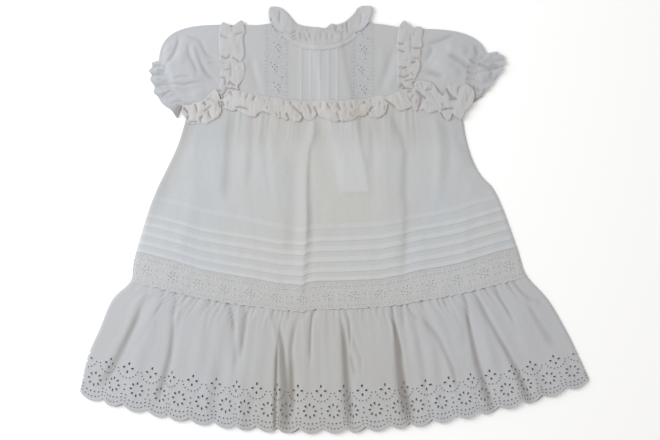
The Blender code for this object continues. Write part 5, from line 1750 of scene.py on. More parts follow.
@dataclass
class Yoke:
    """Tucked centre, lace strips, plain sides, the two back halves and the facing."""

    rows: int = 40

    def strip_place(self, edge: Callable[[float], float], share: float) -> Spot:
        """Place on a column of the yoke, a share of the way from the seam to the top."""
        y = mix(SEAM_LOW_Y, NECK_LOW_Y, share)
        for _ in range(5):
            x = edge(y)
            y = mix(Plan.seam_y(x) - 1.6, Plan.yoke_top_y(x), share)
        return Spot(edge(y), y)

    def build_centre(self) -> None:
        """Panel with five pin tucks, folded to the right."""
        _, left, right, _ = LACE_EDGES
        columns = [(x, 0.0, 0.0) for x in steps(left - 0.3, YOKE_TUCK_FIRST_X - 1.5, 4)]
        for tuck in range(YOKE_TUCKS):
            edge = YOKE_TUCK_FIRST_X + (tuck + 0.62) * YOKE_TUCK_PITCH
            columns += [(edge - row.before, row.rise, row.layers) for row in YOKE_TUCK_PROFILE]
        columns += [(x, 0.0, 0.0) for x in steps(
            YOKE_TUCK_FIRST_X + 4.62 * YOKE_TUCK_PITCH + 3.0, right + 0.3, 8)]
        form = grid(len(columns) - 1, self.rows)

        def shape(u: float, v: float) -> Laid:
            """Where a point of the flat cut lies on the dress."""
            x, rise, layers = columns[round(u * (len(columns) - 1))]
            wander = 0.35 * crumple(x, 2.0 * v, 8.0, 9.0)
            x, y = self.strip_place(lambda _: x, v)
            pucker = 0.10 * crumple(x, y * 2.5, 2.5, 4.0) if layers else 0.0
            return Laid(x + (wander if rise else 0.0), y,
                        Plan.yoke_top(x, y) + rise + pucker, layers * 0.6)

        lay(form, shape, (105.0, 80.0))
        add_cloth(form, "yoke_centre_cloth", YOKE_COTTON,
                  Sheet(116.0, 72.0, "laid", ("placket_facing_cloth",), 0.78 * 116.0 * 72.0),
                  ["yoke_centre"])

    def build_lace(self, side: Side) -> None:
        """Strip of lace insertion with clusters of small eyelets and ladder edges."""
        low, high = LACE_EDGES[:2] if side is Side.LEFT else LACE_EDGES[2:]
        width, pitch, length = high - low, 24.0, 96.0
        holes = []
        start = 16.0 if side is Side.LEFT else 13.0
        for number in range(4):
            y, x = start + pitch * number, width * (0.42 if number % 2 else 0.55)
            holes += flower(x, y, 2.9, 4, 0.62, 0.55, math.pi / 2.0)
            holes += [Eyelet(x + 1.6, y - 5.5, 0.5, 0.5), Eyelet(x - 4.5, y + 5.0, 0.5, 0.5),
                      Eyelet(x + 4.5, y + pitch / 2.0, 0.5, 0.5)]
        for number in range(21):
            y = 2.0 + 4.5 * number
            holes += [Eyelet(2.3, y, 0.28, 0.28), Eyelet(width - 2.3, y, 0.28, 0.28)]
        holes = [hole for hole in holes if 1.5 < hole.y < length - 2.0]
        cut = Cutwork([0.0, 1.0, 3.9, 8.0, 12.0, 15.5, 19.5, width - 3.9, width - 1.0, width],
                      steps(0.0, length, 26), holes, rim=0.32, rim_rise=0.12, segments=8)
        form = cut.strip(1)

        def top(a: float) -> float:
            """How far up the cut the neck cuts this column off."""
            x = low + a
            return Plan.yoke_top_y(x) - Plan.seam_y(x) + 1.6

        beyond = [face for face in form.faces
                  if all(vert.co.y > top(vert.co.x) for vert in face.verts)]
        bmesh.ops.delete(form, geom=beyond, context="FACES")
        loose = [vert for vert in form.verts if not vert.link_faces]
        bmesh.ops.delete(form, geom=loose, context="VERTS")

        def shape(a: float, b: float) -> Laid:
            """Where a point of the flat cut lies on the dress."""
            x = low + a
            y = Plan.seam_y(x) - 1.6 + min(b, top(a))
            return Laid(x, y, Plan.yoke_top(x, y) + 0.06)

        lay(form, shape)
        add_cloth(form, f"yoke_lace_{side.value}_cloth", YOKE_LACE,
                  Sheet(width, 88.0, "laid", (f"yoke_back_{side.value}_cloth",)),
                  [f"yoke_lace_{side.value}"])

    def build_side(self, side: Side) -> None:
        """Plain panel between the lace and the armhole."""
        inner = LACE_EDGES[0] + 0.4 if side is Side.LEFT else LACE_EDGES[3] - 0.4
        form = grid(20, self.rows)

        def shape(u: float, v: float) -> Laid:
            """Where a point of the flat cut lies on the dress."""
            def edge(y: float) -> float:
                """Place across the yoke at this height."""
                arm = Plan.armhole_x(side, y) - side.outward * ARM_SEAM
                return mix(arm, inner, u if side is Side.LEFT else 1.0 - u)

            x, y = self.strip_place(edge, v)
            return Laid(x, y, Plan.yoke_top(x, y))

        lay(form, shape, (42.0, 85.0))
        add_cloth(form, f"yoke_side_{side.value}_cloth", YOKE_COTTON,
                  Sheet(44.0, 88.0, "laid", (f"yoke_back_{side.value}_cloth",)),
                  [f"yoke_side_{side.value}"])

    def build_back(self, side: Side) -> None:
        """One half of the back, from the armhole to the opening."""
        form = grid(72, self.rows)

        def shape(u: float, v: float) -> Laid:
            """Where a point of the flat cut lies on the dress."""
            def edge(y: float) -> float:
                """Place across the yoke at this height."""
                arm = Plan.armhole_x(side, y) - side.outward * ARM_SEAM
                line = Plan.opening_x(y) + side.outward * OPENING_HALF_GAP
                return mix(arm, line, u if side is Side.LEFT else 1.0 - u)

            x, y = self.strip_place(edge, v)
            return Laid(x, y, Plan.back_lift(x, y) + SHELL)

        lay(form, shape, (112.0, 80.0))
        add_cloth(form, f"yoke_back_{side.value}_cloth", COTTON,
                  Sheet(118.0, 86.0, "laid"), [f"yoke_back_{side.value}"])

    def build_facing(self) -> None:
        """Strip that faces the opening on the inside of the back."""
        form = grid(16, 60)
        top, foot = OPENING_TOP.y - 5.0, OPENING_FOOT.y

        def shape(u: float, v: float) -> Laid:
            """Where a point of the flat cut lies on the dress."""
            y = mix(top, foot, v)
            x = Plan.opening_x(y) + mix(-FACING_HALF_WIDTH, FACING_HALF_WIDTH, u)
            return Laid(x, y, Plan.back_lift(x, y) + WALL + SEAM + SHELL)

        lay(form, shape, (2.0 * FACING_HALF_WIDTH, top - foot))
        add_cloth(form, "placket_facing_cloth", COTTON,
                  Sheet(2.0 * FACING_HALF_WIDTH, top - foot, "laid", ("skirt_back_cloth",)),
                  ["placket_facing"])

    def build(self) -> None:
        """Build the yoke."""
        self.build_centre()
        for side in Side:
            self.build_lace(side)
            self.build_side(side)
            self.build_back(side)
        self.build_facing()


# ---------------------------------------------------------------- gathered strips

class Rib(NamedTuple):
    """One gather of a ruffle, from its stitched end to its free one."""

    first: Spot
    last: Spot


def ribs(first: Sequence[float], last: Sequence[float], apart: float = 1.2,
         down: bool = False) -> list[Rib]:
    """Gathers between both edges of a ruffle, at each place of either edge.

    Args:
        first: the stitched or left edge, in the pixels of the view.
        last: the free or right edge.
        apart: least distance from one gather to the next, in pixels.
        down: the ruffle runs down the dress, and not across it.

    Returns:
        The gathers in millimetres, in the order of their x, or of their y if down.
    """
    edges = pairs(first), pairs(last)
    places: list[float] = []
    for place in sorted({spot[int(down)] for edge in edges for spot in edge}):
        if not places or place - places[-1] >= apart:
            places.append(place)
    made = []
    for place in places:
        ends = [straight(edge, place, down) for edge in edges]
        made.append(Rib(*line(ends[0], place, ends[1], place) if down
                        else line(place, ends[0], place, ends[1])))
    return made


@dataclass
class Strip:
    """Gathered cloth with a wavy outline, drawn rib by rib, and its listed folds."""

    ribs: Sequence[Rib]
    creases: Creases
    base: Callable[[float, float], float]
    rise: float
    first_rise: float = 0.6      # share of the rise at the first ends of the ribs
    last_rise: float = 0.9       # and at the last ones
    waves: float = 0.5           # size of the cloth's broad unevenness
    crown: Sequence[Spot] = ()   # outline of the first rib, where it isn't straight
    step: float = 0.8            # of the grid
    tint: float = 0.6            # how deep the painted shade in the folds is
    painted_light_ends: float = 0.0       # how much lighter both ends are painted: painted light

    def places(self, ends: Sequence[Rib]) -> list[float]:
        """Columns of the grid, counted in ribs."""
        places = [0.0]
        for index, (here, after) in enumerate(zip(ends, ends[1:])):
            gap = sum((Vector(after[k]) - Vector(here[k])).length for k in (0, 1)) / 2.0
            count = max(1, round(gap / self.step))
            places += [index + (number + 1) / count for number in range(count)]
        return places

    def form(self) -> bmesh.types.BMesh:
        """Build the laid strip."""
        ends = self.ribs
        places = self.places(ends)
        depth = sum((Vector(last) - Vector(first)).length for first, last in ends) / len(ends)
        puffs = self.creases.widened(3.2, 0.4)
        form = grid(len(places) - 1, max(8, round(depth / (1.2 * self.step))))
        top = ends[0][0].y

        def shape(u: float, v: float) -> Laid:
            """Where a point of the flat cut lies on the dress."""
            place = places[round(u * (len(places) - 1))]
            index = min(int(place), len(ends) - 2)
            share = place - index
            first, last = (Vector(ends[index][k]).lerp(Vector(ends[index + 1][k]), share)
                           for k in (0, 1))
            x, y = first.lerp(last, v)
            if self.crown:
                y += (straight(self.crown, x) - top) * soft((y - top + 10.0) / 10.0)
            length = (last - first).length
            rim = min(v * length, (1.0 - v) * length, 2.0 + (len(ends) - 1 - place) * 4.0,
                      2.0 + place * 4.0)
            round_rim = 0.12 + 0.88 * math.sqrt(1.0 - (1.0 - clamp(rim / 2.4)) ** 2)
            push_x, push_y, folds = self.creases.at(x, y)
            height = self.rise * mix(self.first_rise, self.last_rise, soft(1.4 * v)) * round_rim
            height += self.waves * (crumple(x, y, 7.0, 20.0) + 0.5 * crumple(x, y, 3.2, 21.0))
            puff = max(puffs.at(x, y)[2], -0.8)
            z = self.base(x, y) + max(height + folds + puff, 0.1)
            # painted light on both ends through the doubled colour, and painted shade in the
            # creases and their puffs
            pale = self.painted_light_ends * soft(abs(2.0 * place / (len(ends) - 1) - 1.0) * 2.2 - 0.9)
            return Laid(x + push_x, y + push_y, z, pale,
                        self.tint * soft(-(folds + 0.35 * puff) / 1.6))

        lay(form, shape, (1.5 * len(places) * self.step, depth))
        return form


def over_seam(x: float, y: float) -> float:
    """Height just clear of the yoke, and below the seam of the gathered skirt."""
    down = soft((Plan.seam_y(x) + 1.0 - y) / 7.0)
    return mix(Plan.over_yoke(x, y), Plan.over_skirt(x, y) - 0.7, down)


def over_yoke(clear: float) -> Callable[[float, float], float]:
    """Height a little clear of the yoke."""
    return lambda x, y: Plan.over_yoke(x, y) + clear


# ---------------------------------------------------------------- neck

NECK_RIBS = [Rib(*ends) for ends in zip(
    line(276, 29, 277, 29.6, 278, 30.2, 279.5, 31, 281, 31.8, 283, 33, 285, 34.4, 287, 36,
         289, 37.8, 291, 40, 294, 42.3, 297, 43.7, 301, 44.7, 305, 45.4, 310, 46, 316, 46.2,
         321, 46.2, 326, 45.8, 330, 45.4, 334, 45, 337, 44.6, 340, 43.8, 342, 43, 344, 41.8,
         346, 40.2, 348, 38.4, 350, 36.8, 352, 35.2, 354, 33.8, 356, 32.6, 358, 31.6, 360, 30.6,
         361.5, 29.8, 363, 29, 364, 28.4),
    line(269.5, 21, 268.5, 15, 268.8, 9.5, 270.5, 7.2, 275.5, 6.6, 280, 7.6, 284, 10.2,
         288, 14.2, 291, 18, 294, 21.8, 297, 24.3, 301, 25.4, 306, 26.3, 311, 27, 318, 27.6,
         324, 28.7, 327, 27.6, 329, 25.2, 332, 23.7, 335.5, 25, 340, 24, 345, 22, 349, 18.7,
         353, 14.8, 355.5, 12.2, 356.7, 9.2, 359, 7.6, 362, 6.2, 367, 6.1, 371, 6.3, 372.7, 8.5,
         372.5, 12, 371.2, 15.5, 369.5, 18, 369.5, 21),
)]
NECK_CREASES = Creases(
    fold(-1.5, 0.7, 297.5, 30.7, 293, 33, 288.5, 35.3),
    fold(-1.6, 0.7, 297, 34.7, 293.5, 36.7, 290, 38.3),
    fold(-1.2, 0.7, 298, 37.5, 294.5, 39.7, 292, 41),
    fold(-0.8, 0.8, 281, 31, 286, 31.7, 289.5, 33.5), fold(-0.9, 0.8, 300.5, 31, 301.5, 42.5),
    fold(-1.1, 0.8, 304, 33, 306, 41), fold(-1.4, 0.8, 306.3, 37, 308.3, 43.5),
    fold(-1.1, 0.7, 309.3, 32, 310.3, 37, 312, 43.5), fold(-0.6, 0.7, 307.5, 27.5, 308, 33),
    fold(-0.5, 1, 316, 36, 316, 43), fold(-0.5, 1.5, 322, 30, 321, 42),
    fold(-0.5, 1.2, 327.5, 33, 327.5, 42), fold(-0.8, 0.9, 331, 43.5, 333, 38, 333, 33),
    fold(-1.1, 0.8, 330, 44.3, 336, 43.8, 341, 42, 345, 39),
    fold(-1.5, 0.9, 346.8, 20.5, 347.3, 28, 348, 36, step=0.3),
    fold(-0.8, 1, 361, 12, 361, 20, 360.3, 27),
    fold(-1.1, 0.8, 333, 24.8, 337, 26.8, 336, 30.5, 341, 33, 346, 31),
    fold(-0.8, 0.8, 342.5, 24, 343.5, 30), fold(-0.9, 0.8, 350, 35.5, 354, 32.3, 359, 29.7),
    fold(-0.8, 1, 280, 8.5, 280.2, 16, 279.7, 20, 280.8, 26),
    fold(-1.1, 1, 270.5, 19.5, 272.5, 21.5), fold(-0.8, 0.8, 340, 36, 343, 33, 342, 40),
    fold(0.5, 3, 312, 29, 326, 31),
)


@dataclass
class Neck:
    """Binding of the neck edge and the frill that stands from it."""

    binding_width: float = 4.6
    binding_end: float = 0.19

    def build_binding(self) -> None:
        """Folded binding along the neck edge."""
        form = grid(90, 10)

        def shape(u: float, v: float) -> Laid:
            """Where a point of the flat cut lies on the dress."""
            share = mix(self.binding_end, 1.0 - self.binding_end, u)
            x, y = Plan.neck_point(share, mix(-self.binding_width, 1.4, v))
            ends = soft(8.0 * min(u, 1.0 - u))
            round_form = math.sin(math.pi * clamp(v, 0.03, 0.97)) ** 0.6
            bump = 0.04 * math.sin(150.0 * u) + 0.1 * crumple(x, y, 4.0, 30.0)
            height = Plan.over_yoke(x, y) + 0.1 * ends + 0.36 * round_form + bump
            # painted highlight along the round crown of the binding, through its doubled colour
            return Laid(x, y, height, 0.25 * round_form)

        lay(form, shape, (112.0, 10.5))
        add_cloth(form, "neck_binding_cloth", YOKE_COTTON,
                  Sheet(98.0, 10.5, "folded", ("yoke_centre_cloth",), 0.55 * 98.0 * 10.5),
                  ["neck_binding"])

    @staticmethod
    def base(x: float, y: float) -> float:
        """Height on which the frill lies: the binding first, then the back frill."""
        over = clamp((y - Plan.neck_y(x) - 1.0) / 20.0)
        side = soft((abs(x - NECK_X) - 22.0) / 12.0)
        return mix(Plan.over_yoke(x, y) - 0.1 + 0.5 * side, 2.0, soft(over))

    def build_frill(self) -> None:
        """Front frill: gathered at the neck edge, with a broad wing at each end."""
        strip = Strip(NECK_RIBS, NECK_CREASES, self.base, 1.5, 0.2, 0.8, 0.3, tint=0.45,
                      painted_light_ends=0.9)
        add_cloth(strip.form(), "neck_frill_front_cloth", COTTON_IN_SHADE,
                  Sheet(150.0, 20.0, "gathered", ("neck_binding_cloth",)),
                  ["neck_frill_front"])

    def build_back_frill(self, side: Side) -> None:
        """Flat half of the back frill, below the front one."""
        start, end = (0.06, 0.535) if side is Side.LEFT else (0.545, 0.94)
        cut_width = 62.0 if side is Side.LEFT else 52.0
        form = grid(60, 12)

        def shape(u: float, v: float) -> Laid:
            """Where a point of the flat cut lies on the dress."""
            base_x, tip_x, tip_y = row_at(NECK_FRILL, mix(start, end, u))
            foot = Plan.neck_y(base_x) + NECK_GAP
            ripple = 0.12 * (1.0 + math.sin(70.0 * u)) * v
            return Laid(mix(base_x, tip_x, 0.93 * v), mix(foot, tip_y, 0.93 * v),
                        SHELL + ripple)

        lay(form, shape, (cut_width, 21.0))
        add_cloth(form, f"neck_frill_back_{side.value}_cloth", COTTON_IN_SHADE,
                  Sheet(cut_width, 20.0, "gathered"), [f"neck_frill_back_{side.value}"])

    def build(self) -> None:
        """Build binding and frills."""
        self.build_binding()
        self.build_frill()
        for side in Side:
            self.build_back_frill(side)


# ---------------------------------------------------------------- ruffles

YOKE_RUFFLE_RIBS = ribs(
    (221, 100, 224, 99, 228, 96.5, 230.5, 92, 235, 90, 241, 91, 246, 92.5, 252, 93.8, 258, 94.5,
     264, 96, 272, 97, 281, 98.6, 284, 99.5, 291, 100.8, 300, 101, 312, 100.5, 324, 101,
     336, 101, 344, 101, 351, 100, 353, 99.3, 366, 98.5, 372, 97, 381, 95, 386, 96.3, 390, 95.5,
     396, 92.5, 400, 91, 404, 99, 411, 105),
    (221, 103, 223, 107.5, 226, 109, 229, 110.3, 232, 111.3, 235, 111.3, 237, 110, 240, 111.6,
     244, 114.7, 248, 116.5, 254, 118, 256.5, 117, 257.8, 114.5, 261, 113, 264, 112, 268, 113.5,
     271, 114.7, 274, 117, 278, 119.5, 280.5, 118.2, 282, 118.3, 284.5, 119.2, 287, 121.3,
     289.3, 118.6, 292, 120, 296, 122.3, 300, 122, 303, 116.8, 305, 119.5, 308, 121.3,
     312, 121.5, 315, 119, 317.3, 113, 319, 116, 322, 118.4, 326, 119.8, 330, 121.5, 334, 123,
     338, 122.5, 339.5, 120.7, 342, 122, 348, 122.5, 353, 121, 355.5, 119.6, 357, 117, 362, 117,
     366, 116, 368, 112.5, 369.5, 115.3, 371.5, 118, 376, 119, 380, 118, 384, 115.5, 386, 112,
     387.5, 105, 390, 105.7, 395, 108.6, 400, 111.7, 404, 111, 408, 109, 411, 108),
)
YOKE_RUFFLE_CREASES = Creases(
    fold(-1.4, 1, 230.5, 90, 231, 93, 233, 96.5), fold(-1, 0.8, 248.5, 93.5, 245.5, 100),
    fold(-1.5, 0.9, 256, 95, 254.5, 97.5, 252.5, 102),
    fold(-1.2, 0.8, 234, 110, 235, 108, 240, 107.3, 246, 108.3, 249.5, 110.3, 250.7, 113,
         step=-0.9),
    fold(-0.6, 0.9, 264.5, 98.5, 266, 104), fold(-0.9, 1.2, 266.5, 108, 269, 108.6),
    fold(-0.8, 0.8, 283.5, 98.5, 284.5, 102, 284, 107), fold(-0.8, 0.8, 276, 112.5, 278.5, 117),
    fold(-0.9, 0.8, 280.5, 111, 280.8, 115, 281.3, 118),
    fold(-1.2, 0.9, 286, 113, 288, 116, 289.3, 118.5), fold(-1.4, 0.9, 290.5, 101, 291, 105.5),
    fold(-1.3, 0.8, 291.5, 103.5, 294, 107, 298, 111, 302, 114.5, 304, 118, step=-0.8),
    fold(-0.5, 0.8, 297.5, 115, 299.5, 119),
    fold(-1.1, 0.8, 307.5, 102, 308.3, 105.5, 310.5, 110, 312.5, 116, step=0.5),
    fold(-1.5, 0.9, 314.5, 106, 316, 110.5, 317.3, 114),
    fold(-0.6, 0.9, 320.5, 102, 321.3, 106, 321, 110),
    fold(-1.2, 0.8, 327.3, 102.3, 328, 106, 331, 110.5, step=0.4),
    fold(-1.3, 0.8, 338, 102, 338.3, 106, 340, 109.5, 342.5, 111, step=0.4),
    fold(-0.6, 0.8, 344.5, 103, 345, 108),
    fold(-1.3, 0.8, 350.7, 101, 351.5, 104, 353, 109.5, step=-0.5),
    fold(-0.8, 0.8, 350, 111, 351.3, 115, 356.5, 118.3),
    fold(-0.8, 0.9, 339.5, 121, 338.5, 116, 336, 112),
    fold(-1.5, 1.2, 363.5, 101.5, 365.3, 104.5),
    fold(-1.4, 0.9, 375, 106, 371, 109, 368.5, 113), fold(-0.6, 0.8, 374.5, 110, 372.5, 114),
    fold(-0.6, 1.2, 380, 100.5, 380, 106),
    fold(-1.6, 0.9, 383.5, 98, 388, 102, 393, 105.5, 398, 109, step=-0.9),
    fold(-0.8, 0.9, 387.3, 105, 384.5, 108, 386.5, 112),
    fold(-0.9, 0.9, 303, 117.5, 301.5, 112), fold(-2, 1.5, 222, 101, 223, 104, 225, 107.5),
    fold(-0.7, 0.8, 229.5, 101, 228.5, 104.5, 227, 107),
    fold(-0.4, 1.2, 396, 94, 399, 100, 400, 106), fold(-0.4, 1.2, 391, 97, 395, 102),
    fold(-0.5, 0.8, 241, 92, 241, 96), fold(-0.5, 0.9, 260, 96, 259.5, 101),
    fold(-0.5, 0.9, 270, 98, 271, 102), fold(-0.5, 0.8, 332.5, 102, 333.5, 105.5),
    fold(-0.6, 0.8, 302, 102, 303, 106), fold(-0.5, 0.8, 357.5, 100, 358, 104),
    fold(-0.6, 0.9, 371, 99, 371.5, 103),
)
SHOULDER_RIBS = {
    Side.LEFT: ribs(
        (219.5, 27.5, 219, 31, 218.6, 34.5, 219, 40, 218.8, 46, 219.5, 52, 220.8, 55.5,
         219, 58.5, 219.5, 60.5, 222, 62, 225, 64, 226, 67.5, 222, 69.5, 220.5, 72, 220, 76,
         222, 78.5, 221, 81, 219.5, 84.5, 219, 88, 218, 91.5, 219.5, 94.5, 221.5, 97,
         221, 100.5),
        (245, 27.5, 245.8, 30, 245.5, 33.5, 244, 36, 244, 42, 244.8, 48, 245.3, 54, 245.3, 57.5,
         243.5, 60, 242.5, 62, 244.5, 64, 246, 68, 245.8, 73, 244.5, 78, 242.5, 82, 240.5, 84.3,
         238.5, 85.8, 238.5, 88, 239.5, 89.5, 233, 91.5, 231.5, 95, 231.5, 98, 230, 100.5),
        apart=1.4, down=True),
    Side.RIGHT: ribs(
        (398.5, 29, 397.5, 32, 397, 38, 396.8, 43, 396, 47, 398, 50.5, 397, 55, 396.5, 60,
         398, 65.5, 397, 68, 396.5, 72, 397, 76, 397, 80, 397.5, 85, 399, 88.5),
        (422.5, 29, 423.5, 31.5, 422.5, 36, 422, 42, 423, 46, 421.3, 49, 420.5, 58, 420, 62,
         420.8, 65, 420, 70, 418.5, 73, 417, 77, 415, 80, 413.5, 83, 415, 88.5),
        apart=1.4, down=True),
}
SHOULDER_CROWN = {
    Side.LEFT: line(219.5, 27.5, 221.5, 24.5, 223.6, 22.2, 226, 23.5, 229, 25.5, 231, 27.3,
        233, 27.2, 235, 25, 238, 22.8, 241, 20.8, 243, 20.9, 244.3, 24.5, 245, 27.5),
    Side.RIGHT: line(398.5, 28, 400, 25.5, 402, 22.5, 404.5, 21, 407, 22.8, 409.5, 26,
        411, 28.8, 412.5, 29.3, 415, 27.6, 418, 27, 420.5, 27.2, 422.5, 29),
}
SHOULDER_CREASES = {
    Side.LEFT: Creases(
        fold(-0.9, 0.9, 219.5, 35, 223, 36.3, 227, 38.3, 231, 38.8),
        fold(-1, 0.9, 234, 35.6, 239, 34.2, 242.5, 33, 245.5, 31.5),
        fold(-1.4, 0.9, 220, 55, 224, 57.3, 226.5, 58.7, 228.5, 58, 230, 56, 229, 53.8,
             step=-0.8),
        fold(-1.1, 0.9, 232, 56.3, 236.5, 59.5, 240, 62.3, 243.5, 62.5, step=-0.8),
        fold(-0.9, 0.8, 243, 60.5, 245.5, 58),
        fold(-0.7, 0.9, 221.5, 69.7, 226, 70, 230, 70, 231.5, 67),
        fold(-1.2, 0.9, 220.5, 77.3, 224, 78.3, 227.5, 77.3),
        fold(-1.1, 0.9, 225.5, 78, 225.7, 83, 225, 86.5),
        fold(-1.5, 1, 226.5, 85.7, 229, 84.5, 230.5, 82, 232.5, 84.2, 235, 85.5, 237.5, 87,
             step=-0.5),
        fold(-1.4, 0.9, 226, 90.3, 228, 89, 232, 88.8, 238.5, 89.7),
        fold(-1.2, 1, 219, 88, 219.7, 91, 223, 92),
        fold(-1.4, 0.9, 220, 94.3, 223, 95.5, 225.5, 92.5, 227, 88.5, 226.3, 85.5),
        fold(-1.6, 1.1, 229.5, 91, 231, 95, 232, 97), fold(-0.8, 0.8, 231, 97.5, 229, 100),
        fold(-1.4, 1.2, 222.5, 100, 223.5, 97, 224.5, 96),
        fold(-0.7, 1.4, 231, 60, 231, 66, 231.5, 72, 230.5, 80),
        fold(-0.4, 1.6, 232, 28, 232, 33), fold(0.5, 2, 236, 67, 240, 68.5),
        fold(0.3, 4, 222, 46, 240, 47),
    ),
    Side.RIGHT: Creases(
        fold(-1.3, 0.9, 397, 43, 400, 44, 405, 44.3, step=-0.4),
        fold(-1.3, 0.9, 397.5, 50, 402, 51.5, 406.5, 52.7, step=-0.5),
        fold(-1.1, 0.9, 411, 47.5, 415, 48.5, 420, 48.5, 423, 47, step=-0.6),
        fold(-0.6, 1, 410.3, 30, 410.7, 38, 411, 46, 411, 56),
        fold(-1, 0.8, 413, 58, 417, 58.7, 421, 58, step=-0.4),
        fold(-1.4, 1, 410.5, 62.5, 413, 63, 416.5, 61.5),
        fold(-1.4, 1, 398.5, 66.8, 402, 68.3, 408.5, 67.3, step=-0.4),
        fold(-1.3, 0.9, 397, 76, 401, 76.7, 404, 77.5, 408, 76, 411, 74.5, step=-0.4),
        fold(-0.8, 0.9, 418.5, 72, 417, 77, 415.5, 80),
        fold(-1.1, 0.8, 403, 81.2, 407, 81, 411, 80, 416, 79),
        fold(-0.9, 0.8, 410.5, 72, 413, 75, 415, 76.5),
        fold(-0.5, 0.9, 412.5, 34.5, 415.5, 36.5),
        fold(-1.8, 1.1, 397.5, 86.5, 400, 87, 401.5, 84.5, 403, 87.3),
        fold(-1.4, 1, 402, 83.5, 403.3, 87, 406, 89, 412, 90),
        fold(-1.1, 0.9, 412.3, 80.5, 413, 85, 414.5, 88.5), fold(0.4, 4, 404, 30, 404, 40),
        fold(-0.5, 1, 405, 61, 410, 60), fold(-0.4, 1, 404, 71, 410, 70.5),
    ),
}
UNDERARM_CORNER = [Rib(*line(x, top, x, low)) for x, top, low in (
    (452, 77.25, 114), (454.2, 77.6, 116.1), (458, 78.7, 119), (461.4, 80.6, 120.25),
    (462.7, 81.5, 118.75), (464.2, 82.3, 114.4), (466.3, 83.6, 111.3), (469, 85.4, 108.7),
    (472, 88, 105.8), (473.4, 90.3, 101.3), (474, 92, 97.3),
)]                       # the outer corner on the right
UNDERARM_RIBS = {
    Side.LEFT: ribs(
        (182.5, 104, 190, 104, 196, 102.5, 204, 101, 206, 98, 210, 93.5, 214, 90.3, 216.5, 89,
         218.5, 92, 220, 97, 221.5, 101),
        (182.5, 114.5, 185.5, 118.3, 187, 121.5, 189, 124, 193, 124.4, 198, 124.3, 203, 123.5,
         207.5, 124.6, 210, 123, 213, 120.8, 216, 119.5, 219, 117.8, 221, 114.5, 222, 110.5),
    ),
    Side.RIGHT: ribs(
        (399, 87.5, 404, 89.5, 412, 90, 413.4, 84, 417, 80.7, 424, 80.7, 431, 82, 435, 86,
         438, 91.5, 443, 96, 445, 92, 446.3, 81, 448.5, 78.5, 453, 76.9),
        (399, 89.5, 402, 96, 405, 101.5, 409, 106, 413, 109.5, 416, 112.8, 418, 108.5, 420, 111,
         424, 110, 425.5, 111.5, 426.8, 114, 429, 114, 434, 112.5, 438, 111.5, 440.5, 117,
         445, 120.3, 448, 121.8, 450.5, 119.5),
    )[:-1] + UNDERARM_CORNER,
}
UNDERARM_CREASES = {
    Side.LEFT: Creases(
        fold(-1.1, 0.9, 182.5, 104.6, 190, 104.8, 195, 103.3),
        fold(-1.3, 0.9, 194, 103.5, 196.5, 106, 197.5, 110, 198, 114, step=-0.5),
        fold(-1.6, 1.2, 203.5, 101.7, 205, 104, 207.5, 106),
        fold(-1, 0.9, 201, 110.5, 205, 111.2, 207.5, 109.5, 211, 106.5, 214.5, 105, step=-0.4),
        fold(-1.1, 0.9, 209.5, 109, 209, 113, 211, 117.5, 213.5, 120.3, step=-0.6),
        fold(-0.8, 0.9, 199, 118.3, 204, 117.5),
        fold(-1.3, 1, 200.7, 123.8, 201, 119.5, 204, 114.5),
        fold(-1.2, 0.9, 189.5, 114.5, 188.3, 118, 187.7, 121.5),
        fold(-1.5, 1, 183.5, 107.5, 187, 110.5, 190, 114.5, step=-0.6),
        fold(-1.2, 0.8, 188.5, 122.6, 194, 122, 200, 122.5),
        fold(-1.6, 1.1, 219, 101, 220.5, 105, 221.5, 109),
        fold(-0.6, 0.8, 217.5, 108.5, 216, 113), fold(-0.7, 1, 206, 99, 212, 100, 218, 104),
        fold(-0.4, 1.2, 212, 93, 211, 98), fold(-0.4, 1, 190, 107, 192, 112),
        fold(-0.5, 1, 195, 114, 204, 113),
    ),
    Side.RIGHT: Creases(
        fold(-1.9, 1.3, 413.5, 90, 417, 91.7, 420.5, 95, 421.2, 99, 420.3, 103, 419, 107,
             417, 110.5),
        fold(-1, 0.8, 406, 93, 410, 91.7, 413.5, 91.5),
        fold(-0.5, 0.9, 403, 91, 404, 95, 405.5, 99),
        fold(-0.6, 0.9, 415, 94, 412, 98, 409.5, 101.5), fold(-0.5, 0.9, 418, 99, 415.5, 105),
        fold(-0.5, 0.9, 405, 92, 408, 97, 411, 101, 413, 106),
        fold(-1, 0.8, 424, 91.3, 428, 90, 433, 89, step=-0.5),
        fold(-0.9, 0.9, 413.4, 84, 414.3, 89), fold(-0.5, 0.9, 420.5, 82, 422.5, 86, 424, 90),
        fold(-1.6, 1.2, 421, 95.3, 423.5, 97, 426.5, 99.7),
        fold(-0.5, 1, 428, 92, 433, 97, 437, 103),
        fold(-0.4, 1.2, 422, 101, 430, 104, 436, 107), fold(-0.8, 0.8, 441, 103, 443.5, 107),
        fold(-1.2, 0.9, 439, 110.4, 446, 109.2, 452, 108.7, 457, 107.8, step=-0.7),
        fold(-1.5, 0.9, 440.5, 111.5, 441, 114, 443.5, 118, 446.5, 121),
        fold(-2.1, 1.1, 446, 80, 445.6, 85, 447, 90, 449.5, 94.5, 453, 98, 458, 98.5,
             step=-0.6),
        fold(-1.4, 0.9, 448, 99.7, 453, 99.7, 459, 98.8),
        fold(-1, 0.9, 457.5, 97, 458, 90, 460.5, 86.7, 465, 85.7, step=0.7),
        fold(-0.4, 1.4, 452, 80, 452, 88), fold(-0.5, 1.5, 464, 92, 468, 96, 466, 103),
        fold(-0.5, 0.9, 416, 84, 419, 88), fold(-0.4, 1, 431, 84, 434, 90),
    ),
}


